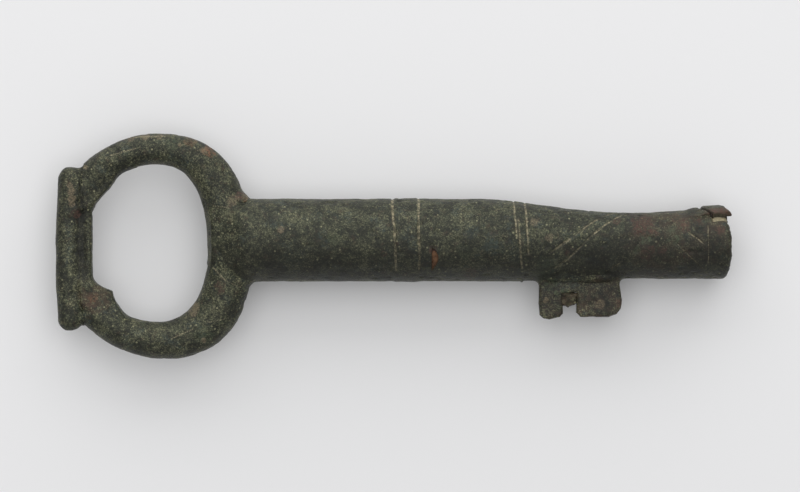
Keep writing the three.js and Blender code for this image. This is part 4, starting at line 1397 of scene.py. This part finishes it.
class KEY_OT_seams(bpy.types.Operator):
    """Add the beads of seam metal where the bow and the bit meet the barrel"""

    bl_idname = "key.seams"
    bl_label = "Seams"

    def execute(self, context):
        bronze = bpy.data.materials["seam_patina"]
        for name in BEADS:
            start, end, radius = bead_ends(name)
            low, high = np.minimum(start, end) - radius, np.maximum(start, end) + radius
            block = prism(rectangle(low, high), low[2], high[2])
            dressed(cast(name, [block], forms()[name][0], SEAM_VOXEL), bronze, (name,))
        return {"FINISHED"}


# Softboxes: place, width and height, and the setting that holds their power.
SOFTBOXES = {
    "key_softbox": ((-0.02, 0.44, 0.22), (0.9, 0.45), "key_power"),
    "top_softbox": ((0.02, 0.08, 0.62), (0.66, 0.66), "top_power"),
}
BACKDROP = (0.86, 0.86, 0.87, 1)
# Width of the picture and the column of its middle that lies over the frame's origin, in pixels.
IMAGE_WIDTH, ORIGIN_COLUMN = 800, 393.5
SENSOR_WIDTH = 36


class KEY_OT_stage(bpy.types.Operator):
    """Add the pale table, the soft studio light and the camera"""

    bl_idname = "key.stage"
    bl_label = "Stage"

    def execute(self, context):
        stage = settings().stage
        self.table(stage)
        self.lights(stage)
        self.camera(stage)
        context.scene.view_settings.view_transform = "Standard"
        return {"FINISHED"}

    def table(self, stage):
        bpy.ops.mesh.primitive_plane_add(size=6.0, location=(0, 0, CAD_BOX[0].z))
        floor = bpy.context.object
        floor.name = "table"
        finish = Finish(bpy.data.materials.new("table"))
        values = {"Base Color": solid_colour(stage.table), "Roughness": 0.9, "Specular IOR Level": 0.2}
        surface = finish.node("ShaderNodeBsdfPrincipled", None, values, "BSDF")
        floor.data.materials.append(finish.shows(surface))

    def lights(self, stage):
        for name, (place, size, power) in SOFTBOXES.items():
            self.softbox(name, place, size, getattr(stage, power))
        world = bpy.data.worlds.new("room")
        bpy.context.scene.world = world
        finish = Finish(world)
        ray = finish.node("ShaderNodeLightPath", output="Is Camera Ray")
        values = {"Color": finish.mix((stage.sky,) * 3 + (1,), BACKDROP, ray), "Strength": 1.0}
        finish.shows(finish.node("ShaderNodeBackground", None, values, "Background"), "ShaderNodeOutputWorld")

    def softbox(self, name, place, size, power):
        data = bpy.data.lights.new(name, "AREA")
        data.shape = "RECTANGLE"
        data.size, data.size_y = size
        data.energy = power
        lamp = bpy.data.objects.new(name, data)
        bpy.context.scene.collection.objects.link(lamp)
        lamp.location = place
        lamp.rotation_euler = (-Vector(place)).to_track_quat("-Z", "Y").to_euler()

    def camera(self, stage):
        data = bpy.data.cameras.new("camera")
        data.lens = stage.lens
        data.sensor_width = SENSOR_WIDTH
        data.clip_start, data.clip_end = 0.01, 20
        camera = bpy.data.objects.new("camera", data)
        bpy.context.scene.collection.objects.link(camera)
        distance = stage.view_width * data.lens / data.sensor_width
        aside = (IMAGE_WIDTH / 2 - ORIGIN_COLUMN) * (stage.view_width / IMAGE_WIDTH)
        camera.location = (aside, 0, AXIS.z + distance)
        bpy.context.scene.camera = camera


CLASSES = (KeyBarrel, KeyBow, KeyBit, KeyPatina, KeyStage, KeySettings)
OPERATORS = (KEY_OT_barrel, KEY_OT_bow, KEY_OT_bit, KEY_OT_seams, KEY_OT_stage)


class KEY_PT_panel(bpy.types.Panel):
    """Buttons for the key's pieces and its stage"""

    bl_idname = "KEY_PT_panel"
    bl_label = "Bronze Key"
    bl_space_type = "VIEW_3D"
    bl_region_type = "UI"
    bl_category = "Bronze Key"

    def draw(self, context):
        for operator in OPERATORS:
            self.layout.operator(operator.bl_idname)
        for group in ("barrel", "bow", "bit", "patina", "stage"):
            box = self.layout.box()
            values = getattr(context.scene.bronze_key, group)
            for key in values.bl_rna.properties.keys()[2:]:
                box.prop(values, key)


def register():
    for item in (*CLASSES, *OPERATORS, KEY_PT_panel):
        bpy.utils.register_class(item)
    bpy.types.Scene.bronze_key = PointerProperty(type=KeySettings)


def unregister():
    del bpy.types.Scene.bronze_key
    for item in reversed((*CLASSES, *OPERATORS, KEY_PT_panel)):
        bpy.utils.unregister_class(item)


def main():
    register()
    for operator in OPERATORS:
        category, name = operator.bl_idname.split(".")
        if getattr(getattr(bpy.ops, category), name)() != {"FINISHED"}:
            raise RuntimeError(operator.bl_idname + " did not finish")


if __name__ == "__main__":
    main()
